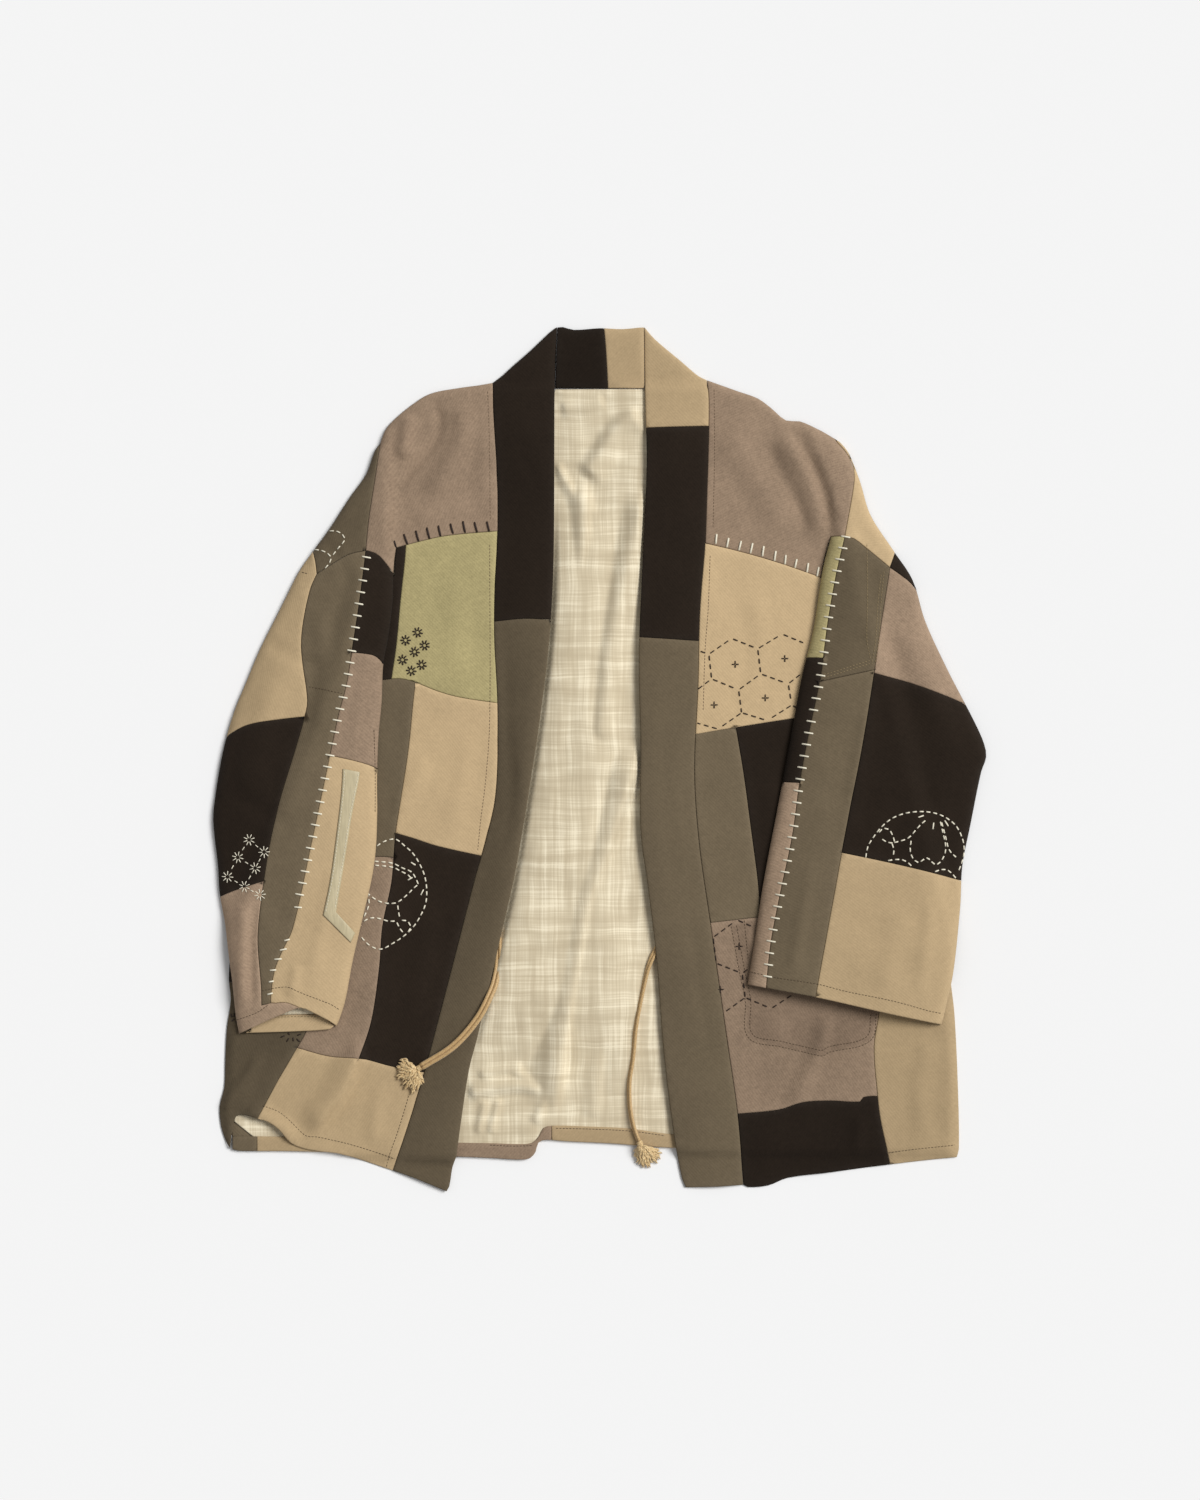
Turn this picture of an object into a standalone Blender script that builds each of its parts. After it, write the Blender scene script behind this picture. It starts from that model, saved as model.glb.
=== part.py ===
"""Patched boro jacket, laid flat on its back: fronts open, sleeves folded down over the fronts.

Every patch, band, lining, tie and tassel that a maker would cut and sew on is a solid of its own.
The panels lie on each other: back, lining, hem turn-ups, fronts and bands, sleeves, ties.

Seams are drawn in millimetres on a laying board: x runs right from its left edge and y runs down
from its top edge. Heights are in millimetres above the floor. Objects are made in metres, with the
origin on the floor under the middle of the jacket, +Y towards the neck and +Z up.
"""

import math

import bpy
import bmesh
import numpy as np
from mathutils import Vector
from mathutils.geometry import delaunay_2d_cdt

# Driving dimensions, in millimetres
MM = 0.001                    # metres in a millimetre
BOARD_MIDDLE = (599.7, 759.1)  # board point under the middle of the jacket
SEAM_GAP = 0.3                # between two patches sewn together, and between touching layers
FLOOR_GAP = 0.3               # under an edge that rolls down to the floor
BACK_CLOTH = 1.5              # outer cloth of the back
LINING_CLOTH = 1.0
HEM_CLOTH = 1.1               # turned-up hem over the lining's edge
OUTER_CLOTH = 2.0             # patch and its lining on fronts and sleeves
BAND_CLOTH = 2.6              # folded band
TAPE_CLOTH = 1.0
LINING_TOP = BACK_CLOTH + SEAM_GAP + LINING_CLOTH
HEM_TOP = LINING_TOP + SEAM_GAP + HEM_CLOTH
FRONT_REST = HEM_TOP + 0.4    # underside of the fronts where they lie on the back
FRONT_TOP = FRONT_REST + OUTER_CLOTH
SLEEVE_REST = FRONT_TOP + 0.6  # underside of a sleeve where it lies on a front
UNDER_SLEEVE = 1.8            # lower layer of a folded sleeve
SLEEVE_HOLLOW = 4.3           # between a sleeve's two layers
EDGE_ROLL = 7.0               # how far in from a front's edge its cloth rolls down
SLEEVE_ROLL = 8.0
BACK_INSET = 8.0              # the back ends this far inside the outline that shows
LINING_INSET = 5.0            # and its lining this much further in
BAND_ARCH = 1.6               # a band's crown between its two edges
LEFT_BAND_LIFT = 3.6          # how far each band's inner edge stands off the lining
RIGHT_BAND_LIFT = 2.2
CORD_TOUCH = 0.01             # between a tie's end and its tassel's knot, which meet face to face
TIE_DIAMETER = 5.0
LEFT_TIE_DIAMETER = 6.0       # two strands lie side by side there
TASSEL_KNOT = [(0.0, 2.4), (1.4, 3.2), (3.6, 3.5), (5.6, 2.4)]  # distance along a tassel's knot, radius
LOCK_RADIUS = 0.85            # lock of floss in a tassel
OUTLINE_STEP = 30.0           # longest run between two points of an outline
HIDDEN_STEP = 70.0            # and of the outline of the back, which is covered
GRID_STEP = 42.0              # spacing of the points inside a panel

# Outer edges on the board
LEFT_SHOULDER = [(492.8, 383), (478, 385.6), (460, 388), (430, 394), (410, 406.5), (392, 422), (385, 431),
                 (380.5, 443.5)]
LEFT_SLEEVE_OUTER = [(380.5, 443.5), (375, 451), (366.5, 474), (350, 497.6), (330, 528.5), (314, 550.5),
                     (300, 570.5), (289, 592), (279, 612), (260, 650), (247, 681), (234, 713), (222.9, 752.6),
                     (214.8, 801), (213.4, 822), (218.2, 867), (219.9, 893.7), (225.8, 926), (229.9, 957),
                     (233.2, 982), (236.8, 1016), (240, 1033)]
LEFT_SLEEVE_INNER = [(393.8, 574), (393.4, 601), (388.7, 639), (384, 664), (382.4, 702), (379.2, 737),
                     (377.8, 781), (378, 812), (376.6, 849), (372.4, 879), (364.3, 914), (353.3, 961.5),
                     (345.9, 1001), (337.8, 1025.6)]
LEFT_SIDE_HIDDEN = [(372, 584), (362, 612), (352, 648), (335, 703), (300, 793), (262, 882), (238, 936),
                    (229.9, 957)]
LEFT_SIDE_SHOWN = [(229.9, 957), (228.9, 980), (230.8, 999), (227, 1028), (225.3, 1060), (224.4, 1087),
                   (219.8, 1106), (221.2, 1126), (226.5, 1142), (230.4, 1148.6)]
LEFT_FRONT_HEM_RAISED = [(230.4, 1148.6), (231.7, 1137.7), (233.5, 1127), (237, 1115.5), (246, 1114.4),
                         (258.2, 1117.8), (269, 1121), (280, 1129), (291.4, 1142.4), (303, 1147.6),
                         (320, 1150.6), (337, 1152.6)]
LEFT_FRONT_HEM_LOW = [(337, 1152.6), (350, 1156), (372.4, 1163.5), (393, 1170.4)]
LEFT_BAND_HEM = [(393, 1170.4), (413.7, 1177.5), (446.8, 1191)]
LEFT_BAND_TIP = [(446.8, 1191), (449.6, 1186), (452.7, 1167), (457, 1155.5)]
LEFT_BAND_INNER = [(457, 1155.5), (461.6, 1120), (469.7, 1068), (478, 1036), (503, 928), (516.4, 868),
                   (530.7, 782), (540.3, 718.6), (548.9, 648), (553, 586), (554.3, 531), (554.6, 446),
                   (554.9, 388.5), (557, 327.2)]
LEFT_BAND_OUTER = [(492.8, 383), (494, 420.5), (497.4, 480), (497.8, 530), (494.6, 600), (494.6, 640),
                   (497.8, 712), (495.7, 795), (485.7, 841), (475, 878), (450.5, 973), (427, 1062),
                   (412.2, 1112.6), (393, 1170.4)]
COLLAR_LEFT = [(557, 327.2), (551, 331.5), (530, 351.4), (511, 368), (503, 375.4), (492.8, 383)]
COLLAR_BACK = [(644.2, 327.2), (622, 329.3), (600, 328.4), (574, 330), (563, 327.2), (557, 327.2)]
COLLAR_RIGHT = [(706.8, 380.4), (698, 376), (681, 361.6), (655, 339.6), (644.2, 327.2)]
RIGHT_BAND_INNER = [(644.2, 327.2), (644.8, 388.8), (646.4, 466), (642.4, 558.7), (638.6, 660),
                    (640.3, 745), (640.3, 830), (647.3, 884), (655.7, 953.7), (663, 1048), (672.6, 1128),
                    (681.5, 1177), (685.4, 1187.2)]
RIGHT_BAND_OUTER = [(706.8, 380.4), (708.6, 400), (707.8, 457), (705, 543), (699.6, 612), (697.7, 686),
                    (694.2, 772), (699, 844), (710, 922), (726.8, 1040), (737.3, 1113.4), (743.2, 1184.6)]
RIGHT_BAND_HEM = [(685.4, 1187.2), (719.9, 1186.2), (743.2, 1184.6)]
RIGHT_FRONT_HEM = [(743.2, 1184.6), (748, 1187), (768, 1185.4), (788, 1177.7), (828.4, 1172.5),
                   (889.8, 1164.3), (935.5, 1159), (956.6, 1157)]
RIGHT_SIDE_SHOWN = [(956.6, 1157), (958.8, 1149), (958, 1091), (954.5, 1015), (951, 984)]
RIGHT_SIDE_HIDDEN = [(951, 984), (945, 950), (930, 886), (907, 800), (884, 706), (866, 640), (848, 596)]
RIGHT_SHOULDER = [(706.8, 380.4), (738, 391.5), (757.4, 398.4), (770.8, 408), (786, 420.6), (799.5, 421.4),
                  (821, 431), (834, 438.6)]
RIGHT_SLEEVE_OUTER = [(834, 438.6), (849.2, 455.8), (860, 482), (870.3, 515), (893.2, 550.5), (912.4, 580),
                      (925, 621), (947, 669), (974.7, 722.6), (984, 744), (986, 757), (981, 772),
                      (969.8, 827), (962.2, 866), (960, 908), (952.3, 973), (945.6, 1004), (941, 1024)]
RIGHT_SLEEVE_INNER = [(830.6, 537), (822.4, 568.7), (812.6, 630), (800.7, 679), (788, 750), (777, 807.6),
                      (762.4, 885), (753.6, 944), (747, 984)]

# The back's own outline, hidden but for its hem
BACK_NECK = [(645, 391), (600, 390.5), (556, 391)]
BACK_LEFT = [(556, 391), (497, 392.6), (465, 397), (434, 403), (415, 414.5), (399, 430), (390, 447), (384, 475),
             (379, 520), (378, 590), (370, 615), (360, 650), (343, 706), (308, 796), (270, 885),
             (246, 938), (238, 966), (238.5, 998), (235, 1030), (233.3, 1060), (232.2, 1090),
             (228.6, 1106), (229.4, 1122), (232.4, 1137), (232.6, 1149)]
BACK_HEM = [(232.6, 1149), (240, 1150.6), (285, 1150.8), (370, 1153), (456.8, 1156.3), (492.6, 1157.8),
            (520, 1159.4), (530, 1158), (535.8, 1151.5), (538.6, 1142.4), (546, 1139.6), (566, 1141),
            (608, 1143), (675.7, 1147.7), (760, 1149), (860, 1150), (948, 1150)]
BACK_RIGHT = [(948, 1150), (949.5, 1090), (946, 1015), (942, 982), (936, 950), (921, 886), (898, 800),
              (875, 706), (857, 640), (846, 590), (846, 530), (845, 490), (838, 462), (826, 444),
              (805, 432), (790, 430), (775, 420), (757, 407.5), (738, 400.5), (712, 391.5), (645, 391)]
LINING_HEM = [(232.8, 1135.6), (285, 1136.2), (370, 1138), (456, 1142), (492.6, 1142.7), (520, 1143.5),
              (532, 1142.4), (539, 1135.5), (543.4, 1127.6), (551.5, 1125.3), (587, 1126), (629, 1128),
              (675, 1134), (760, 1136), (860, 1136.4), (948.6, 1136)]

# Where a front lies under its sleeve, so the sleeve has to stand on it
UNDER_LEFT_SLEEVE = [(430, 576), (430, 1060), (225.3, 1060), (230.8, 999), (229.9, 957), (238, 936),
                     (262, 882), (300, 793), (335, 703), (352, 648), (362, 612), (372, 582)]
UNDER_RIGHT_SLEEVE = [(700, 545), (700, 1060), (957, 1060), (951, 984), (945, 950), (930, 886), (907, 800),
                      (884, 706), (866, 640), (852, 600), (838, 545)]

# Folds: a route on the board, the height, and the width to the left and right of the route
LINING_FOLDS = [
    ([(634, 756), (625, 778), (612, 820), (598.6, 858), (587, 900), (575, 950), (566, 1000), (556, 1045),
      (549, 1090), (543, 1120), (541, 1150)], 5.5, 22, 12),
    ([(640, 419), (616.6, 428), (592.6, 455.5), (578, 472)], 2.6, 13, 13),
    ([(600, 540), (597, 640), (590, 760), (584, 840)], 2.4, 14, 14),
    ([(474, 1092), (511.6, 1074), (534, 1084), (544, 1100)], 3.6, 12, 12),
    ([(546, 930), (532, 1000), (521, 1060)], 2.0, 15, 15),
]
LEFT_FRONT_FOLDS = [
    ([(350, 1034), (360, 1050), (354, 1070), (340, 1097), (326, 1115), (309, 1136)], 8.0, 5, 30),
    ([(278, 1056), (254, 1078), (226, 1108)], 3.6, 9, 10),
    ([(262, 1070), (240, 1108)], 2.6, 8, 8),
    ([(240, 1108), (262, 1115), (280, 1126), (300, 1143)], 6.0, 20, 20),
    ([(430, 757), (412, 786), (399, 818)], 2.2, 16, 16),
]
RIGHT_FRONT_FOLDS = [
    ([(826, 1012), (824, 1034), (818, 1056), (804, 1084), (792, 1112)], 3.4, 12, 16),
    ([(862, 1092), (858, 1122), (855, 1154)], 2.2, 9, 9),
    ([(770, 1016), (780, 1050)], 1.6, 20, 20),
]
LEFT_SHOULDER_FOLDS = [
    ([(450, 400), (462, 430), (446, 468), (420, 500)], 3.6, 24, 20),
    ([(412, 418), (404, 440), (400, 462)], 4.4, 13, 12),
    ([(470, 500), (440, 512), (412, 520)], 1.6, 18, 14),
]
RIGHT_SHOULDER_FOLDS = [
    ([(776, 424), (792, 450), (808, 480), (818, 512), (821, 546)], 6.0, 10, 20),
    ([(722, 420), (744, 460), (768, 500), (786, 540)], 2.6, 26, 30),
]
LEFT_SLEEVE_FOLDS = [
    ([(247, 905), (247, 950), (250, 1008)], 2.6, 10, 10),
    ([(290, 640), (262, 720), (246, 800)], 2.6, 26, 26),
    ([(300, 962), (292, 998)], 2.0, 10, 12),
]
RIGHT_SLEEVE_FOLDS = [
    ([(902, 620), (930, 690), (950, 742)], 3.0, 22, 24),
    ([(872, 690), (858, 770), (846, 850)], 1.8, 14, 14),
]


def clear_scene():
    """Remove whatever the open file holds."""
    for old in list(bpy.data.objects):
        bpy.data.objects.remove(old, do_unlink=True)


def smooth_curve(points, step=OUTLINE_STEP):
    """Points of a smooth curve through the given ones, closer together where it bends."""
    given = [np.array(p, dtype=float) for p in points]
    if len(given) == 2:
        pieces = max(1, math.ceil(np.linalg.norm(given[1] - given[0]) / step))
        return [tuple(given[0] + (given[1] - given[0]) * i / pieces) for i in range(pieces + 1)]
    padded = [2 * given[0] - given[1]] + given + [2 * given[-1] - given[-2]]
    result = [tuple(given[0])]
    for i in range(1, len(padded) - 2):
        before, start, end, after = padded[i - 1:i + 3]
        span = np.linalg.norm(end - start)
        turn_in = (end - before) / max(np.linalg.norm(end - before), 1e-9) * span
        turn_out = (after - start) / max(np.linalg.norm(after - start), 1e-9) * span
        bend = math.acos(np.clip(np.dot(turn_in, turn_out) / span ** 2, -1, 1))
        pieces = max(1, math.ceil(span / step), math.ceil(bend / math.radians(28)))
        for k in range(1, pieces + 1):
            t = k / pieces
            point = ((2 * t ** 3 - 3 * t ** 2 + 1) * start + (t ** 3 - 2 * t ** 2 + t) * turn_in
                     + (3 * t ** 2 - 2 * t ** 3) * end + (t ** 3 - t ** 2) * turn_out)
            result.append(tuple(point))
    return result


def loop_of(curves, step=OUTLINE_STEP):
    """One closed outline from curves that follow each other, each turned to fit the one before."""
    outline = []
    for curve in curves:
        points = smooth_curve(curve, step)
        if outline and math.dist(outline[-1], points[-1]) < math.dist(outline[-1], points[0]):
            points = points[::-1]
        elif not outline:
            following = curves[1]
            ends = (following[0], following[-1])
            if min(math.dist(points[0], e) for e in ends) < min(math.dist(points[-1], e) for e in ends):
                points = points[::-1]
        outline.extend(points if not outline else points[1:])
    if math.dist(outline[0], outline[-1]) < 0.5:
        outline.pop()
    return outline


def nearest(route, x, y):
    """For each point: distance to a route, signed side of it (left is positive) and place along it."""
    route = np.asarray(route, dtype=float)
    starts, ends = route[:-1], route[1:]
    runs = ends - starts
    lengths = np.maximum(np.linalg.norm(runs, axis=1), 1e-9)
    offset_x = np.asarray(x)[:, None] - starts[:, 0]
    offset_y = np.asarray(y)[:, None] - starts[:, 1]
    along = np.clip((offset_x * runs[:, 0] + offset_y * runs[:, 1]) / lengths ** 2, 0, 1)
    gap_x = offset_x - along * runs[:, 0]
    gap_y = offset_y - along * runs[:, 1]
    gaps = np.hypot(gap_x, gap_y)
    best = gaps.argmin(axis=1)
    rows = np.arange(len(best))
    # On the board y runs down, so the left side has a positive cross product with this sign
    side = np.sign(offset_x * runs[:, 1] - offset_y * runs[:, 0])[rows, best]
    travelled = np.concatenate(([0], np.cumsum(lengths)))
    place = (travelled[best] + along[rows, best] * lengths[best]) / travelled[-1]
    return gaps[rows, best], side, place


def inside_distance(outline, x, y):
    """Distance to a closed outline, positive inside it and negative outside."""
    ring = np.asarray(list(outline) + [outline[0]], dtype=float)
    gap, _, _ = nearest(ring, x, y)
    crossings = np.zeros(len(gap), dtype=int)
    for (x0, y0), (x1, y1) in zip(ring[:-1], ring[1:]):
        if y0 == y1:
            continue
        spans = (y >= min(y0, y1)) & (y < max(y0, y1))
        crossings += spans & (x < x0 + (y - y0) * (x1 - x0) / (y1 - y0))
    return np.where(crossings % 2 == 1, gap, -gap)


def smooth_step(value):
    """0 below 0, 1 above 1 and a soft rise between."""
    value = np.clip(value, 0, 1)
    return value * value * (3 - 2 * value)


def roll(distance, radius):
    """Share of the full height at a distance in from an edge that rolls down."""
    inward = np.clip(distance / radius, 0, 1)
    return np.sqrt(1 - (1 - inward) ** 2)


def folds(x, y, routes):
    """Height that soft folds add: a rounded ridge along each route, fading out at its ends."""
    total = np.zeros(len(x))
    for route, height, left_width, right_width in routes:
        gap, side, place = nearest(smooth_curve(route), x, y)
        width = np.where(side > 0, left_width, right_width)
        across = np.cos(np.clip(gap / width, 0, 1) * math.pi / 2) ** 2
        ends = np.minimum(smooth_step(place / 0.22), smooth_step((1 - place) / 0.22))
        total = np.maximum(total, height * across * ends)
    return total


BACK_OUTLINE = loop_of([BACK_NECK, BACK_LEFT, BACK_HEM, BACK_RIGHT], HIDDEN_STEP)
HEM_STRIP = smooth_curve(LINING_HEM, HIDDEN_STEP) + smooth_curve(BACK_HEM, HIDDEN_STEP)[::-1]
LEFT_SILHOUETTE = smooth_curve(LEFT_SHOULDER) + smooth_curve(LEFT_SLEEVE_OUTER)
RIGHT_SILHOUETTE = smooth_curve(RIGHT_SHOULDER) + smooth_curve(RIGHT_SLEEVE_OUTER)
LEFT_SIDE = smooth_curve(LEFT_SIDE_HIDDEN) + smooth_curve(LEFT_SIDE_SHOWN)
RIGHT_SIDE = smooth_curve(RIGHT_SIDE_SHOWN) + smooth_curve(RIGHT_SIDE_HIDDEN)


def over_back(x, y):
    """1 where the back lies under a point, falling to 0 just outside its outline."""
    return smooth_step((inside_distance(BACK_OUTLINE, x, y) + BACK_INSET) / (BACK_INSET - 1))


def lining_top(x, y):
    """Lining with its soft folds, flat where the hem turn-up holds it down."""
    to_hem, _, _ = nearest(LINING_HEM, x, y)
    above_hem = inside_distance(HEM_STRIP, x, y) < 0
    return LINING_TOP + folds(x, y, LINING_FOLDS) * np.where(above_hem, smooth_step((to_hem - 1) / 14), 0)


def front_underside(x, y, edge, routes):
    """Underside of a front: on the back, on the floor past its hem, rolled down along its side."""
    edge_gap, _, _ = nearest(edge, x, y)
    rise = (FRONT_REST - FLOOR_GAP) * over_back(x, y) + folds(x, y, routes)
    return FLOOR_GAP + rise * roll(edge_gap, EDGE_ROLL)


def left_front_top(x, y):
    return front_underside(x, y, LEFT_SIDE, LEFT_FRONT_FOLDS) + OUTER_CLOTH


def right_front_top(x, y):
    return front_underside(x, y, RIGHT_SIDE, RIGHT_FRONT_FOLDS) + OUTER_CLOTH


def band_top(x, y, inner, outer, collar, lift):
    """Folded band: arched across, its inner edge standing off the lining, low past the hem."""
    to_inner, _, _ = nearest(smooth_curve(inner), x, y)
    to_outer, _, _ = nearest(smooth_curve(outer), x, y)
    to_collar, _, _ = nearest(smooth_curve(collar), x, y)
    across = to_outer / np.maximum(to_inner + to_outer, 1e-6)
    on_back = over_back(x, y)
    stand = lift * smooth_step(across) * on_back * smooth_step((y - 395) / 60)
    arch = BAND_ARCH * np.sin(across * math.pi)
    edge = roll(to_collar + 0.6, 6.0)
    return FLOOR_GAP + BAND_CLOTH + ((FRONT_REST - FLOOR_GAP) * on_back + arch + stand) * edge


def left_band_top(x, y):
    return band_top(x, y, LEFT_BAND_INNER, LEFT_BAND_OUTER, COLLAR_LEFT, LEFT_BAND_LIFT)


def right_band_top(x, y):
    return band_top(x, y, RIGHT_BAND_INNER, RIGHT_BAND_OUTER, COLLAR_RIGHT, RIGHT_BAND_LIFT)


def neck_band_top(x, y):
    to_collar, _, _ = nearest(smooth_curve(COLLAR_BACK), x, y)
    return FLOOR_GAP + BAND_CLOTH + 1.8 * roll(to_collar, 12.0) * (1 - 0.4 * smooth_step((y - 360) / 28))


def sleeve_rest(x, y, covered):
    """Underside of a sleeve's lower layer: on the front, and down to the floor beside it."""
    inside = inside_distance(covered, x, y)
    return FLOOR_GAP + (SLEEVE_REST - FLOOR_GAP) * smooth_step((inside + 25) / 23)


def left_under_top(x, y):
    return sleeve_rest(x, y, UNDER_LEFT_SLEEVE) + UNDER_SLEEVE


def right_under_top(x, y):
    return sleeve_rest(x, y, UNDER_RIGHT_SLEEVE) + UNDER_SLEEVE


def sleeve_top(x, y, covered, outer, inner, routes):
    """Upper layer of a folded sleeve: rolled down along its two edges and full between them."""
    gap = np.minimum(nearest(outer, x, y)[0], nearest(smooth_curve(inner), x, y)[0])
    full = UNDER_SLEEVE + SLEEVE_HOLLOW + folds(x, y, routes)
    crown = 3.0 * smooth_step((gap - SLEEVE_ROLL) / 45)
    return sleeve_rest(x, y, covered) + full * roll(gap, SLEEVE_ROLL) + crown + OUTER_CLOTH


def left_sleeve_top(x, y):
    return sleeve_top(x, y, UNDER_LEFT_SLEEVE, LEFT_SILHOUETTE, LEFT_SLEEVE_INNER, LEFT_SLEEVE_FOLDS)


def right_sleeve_top(x, y):
    return sleeve_top(x, y, UNDER_RIGHT_SLEEVE, RIGHT_SILHOUETTE, RIGHT_SLEEVE_INNER, RIGHT_SLEEVE_FOLDS)


def shoulder_top(x, y, crease, silhouette, routes, sleeve, outward):
    """Shoulder patch: front height on the body side of the crease, sleeve height past it."""
    gap, side, _ = nearest(smooth_curve(crease), x, y)
    past = smooth_step((gap * side * outward + 5) / 15)
    edge_gap, _, _ = nearest(silhouette, x, y)
    body = FLOOR_GAP + (FRONT_REST - FLOOR_GAP + folds(x, y, routes)) * roll(edge_gap, EDGE_ROLL) + OUTER_CLOTH
    return body + (sleeve(x, y) - body) * past


LEFT_CREASE = [(391, 420), (390.8, 441), (393.3, 479), (395.3, 520), (395, 548), (394, 576)]
RIGHT_CREASE = [(800, 420), (807, 446), (818.6, 473), (826.3, 498), (829.4, 521), (830.6, 540), (822, 580)]


def left_shoulder_top(x, y):
    return shoulder_top(x, y, LEFT_CREASE, LEFT_SILHOUETTE, LEFT_SHOULDER_FOLDS, left_sleeve_top, -1)


def right_shoulder_top(x, y):
    return shoulder_top(x, y, RIGHT_CREASE, RIGHT_SILHOUETTE, RIGHT_SHOULDER_FOLDS, right_sleeve_top, 1)


def to_world(x, y):
    """Board point in millimetres from the part's origin, +Y towards the neck."""
    return x - BOARD_MIDDLE[0], BOARD_MIDDLE[1] - y


def beside(route, distance):
    """Route moved sideways: to its left on the board, or to its right if the distance is negative."""
    route = np.asarray(route, dtype=float)
    runs = np.gradient(route, axis=0)
    runs /= np.maximum(np.linalg.norm(runs, axis=1), 1e-9)[:, None]
    return [tuple(p) for p in route + np.column_stack((runs[:, 1], -runs[:, 0])) * distance]


def midpoints(route):
    return [tuple((np.array(a) + b) / 2) for a, b in zip(route[:-1], route[1:])]


def fold_points(routes):
    """Points along each fold's crest and down its two slopes."""
    points = []
    for route, _, left_width, right_width in routes:
        crest = smooth_curve(route, OUTLINE_STEP)
        points.extend(crest)
        for across in (left_width * 0.5, -right_width * 0.5, left_width, -right_width):
            points.extend(midpoints(beside(crest, across)))
    return points


def grid_points(outline, step):
    """Staggered grid of points over an outline."""
    xs = [p[0] for p in outline]
    ys = [p[1] for p in outline]
    rows = int((max(ys) - min(ys)) / (step * 0.87)) + 1
    columns = int((max(xs) - min(xs)) / step) + 2
    return [(min(xs) + (c + (r % 2) / 2) * step, min(ys) + (r + 0.5) * step * 0.87)
            for r in range(rows) for c in range(columns)]


def spread(points, lines, taken, outline, line_gap, point_gap):
    """Keep the points inside an outline that are clear of its lines and of the points kept before."""
    if not points:
        return taken
    x = np.array([p[0] for p in points])
    y = np.array([p[1] for p in points])
    clear = np.min([nearest(line, x, y)[0] for line in lines], axis=0) > line_gap
    clear &= inside_distance(outline, x, y) > 0
    for point, is_clear in zip(points, clear):
        if is_clear and all(math.dist(point, other) > point_gap for other in taken):
            taken.append(point)
    return taken


def cut_panel(outline, seams, creases=(), rolled=(), routes=(), step=GRID_STEP):
    """Triangles of a panel: its points, its triangles and the edges that its seams cut.

    Creases are lines that the triangles follow without a cut, and rolled are edges that curl down.
    """
    seam_lines = [list(outline) + [outline[0]]] + [smooth_curve(seam) for seam in seams]
    lines = seam_lines + list(creases)
    lines += [beside(edge, ring) for edge in rolled for ring in (2.2, -2.2, EDGE_ROLL, -EDGE_ROLL)]
    inner = spread(fold_points(routes), lines, [], outline, 4.0, 8.0)
    inner = spread(grid_points(outline, step), lines, inner, outline, step * 0.42, step * 0.6)
    points, edges = [], []
    cutting = 0
    for index, line in enumerate(lines):
        first = len(points)
        points.extend(line)
        edges.extend((first + i, first + i + 1) for i in range(len(line) - 1))
        if index < len(seam_lines):
            cutting = len(edges)
    points.extend(inner)
    flat = [Vector(to_world(x, y)) for x, y in points]
    corners, mesh_edges, faces, _, sources, _ = delaunay_2d_cdt(flat, edges, [], 0, 0.01)
    cuts = {frozenset(edge) for edge, source in zip(mesh_edges, sources) if any(i < cutting for i in source)}
    return [tuple(c) for c in corners], [tuple(f) for f in faces], cuts


def region(panel, seeds):
    """Triangles that can be reached from the seed points without crossing a seam."""
    corners, faces, cuts = panel
    neighbours = {}
    for index, face in enumerate(faces):
        for k in range(3):
            neighbours.setdefault(frozenset((face[k], face[(k + 1) % 3])), []).append(index)
    found = set()
    for seed in seeds:
        sx, sy = to_world(*seed)
        start = next(i for i, face in enumerate(faces) if holds(corners, face, sx, sy))
        waiting = [start]
        while waiting:
            index = waiting.pop()
            if index in found:
                continue
            found.add(index)
            face = faces[index]
            for k in range(3):
                edge = frozenset((face[k], face[(k + 1) % 3]))
                if edge not in cuts:
                    waiting.extend(neighbours[edge])
    return [faces[i] for i in sorted(found)]


def holds(corners, face, x, y):
    """True where a triangle holds a point."""
    signs = []
    for k in range(3):
        x0, y0 = corners[face[k]]
        x1, y1 = corners[face[(k + 1) % 3]]
        signs.append((x1 - x0) * (y - y0) - (y1 - y0) * (x - x0) >= 0)
    return all(signs)


def trim(corners, faces, inset):
    """Corners of a patch with its outline drawn in by half a seam's gap, and the outline's edges."""
    inner_edges = {(f[k], f[(k + 1) % 3]) for f in faces for k in range(3)}
    border = [(a, b) for a, b in inner_edges if (b, a) not in inner_edges]
    placed = {i: np.array(corners[i], dtype=float) for f in faces for i in f}
    normals = {}
    for a, b in sorted(border):
        run = placed[b] - placed[a]
        normal = np.array([-run[1], run[0]]) / np.linalg.norm(run)
        normals.setdefault(a, []).append(normal)
        normals.setdefault(b, []).append(normal)
    for index, pair in normals.items():
        total = pair[0] + pair[1]
        placed[index] = placed[index] + total / max(1 + float(np.dot(pair[0], pair[1])), 0.35) * inset
    return placed, sorted(border)


def fabric(name, colour, roughness):
    material = bpy.data.materials.new(name)
    material.use_nodes = True
    shader = material.node_tree.nodes["Principled BSDF"]
    shader.inputs["Base Color"].default_value = (*colour, 1)
    shader.inputs["Roughness"].default_value = roughness
    shader.inputs["Metallic"].default_value = 0
    return material


def add_object(name, mesh, colour, roughness=0.9):
    """Link one piece of the jacket with a material of its own."""
    mesh.materials.append(fabric(name + "_cloth", colour, roughness))
    piece = bpy.data.objects.new(name, mesh)
    bpy.context.scene.collection.objects.link(piece)
    return piece


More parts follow.
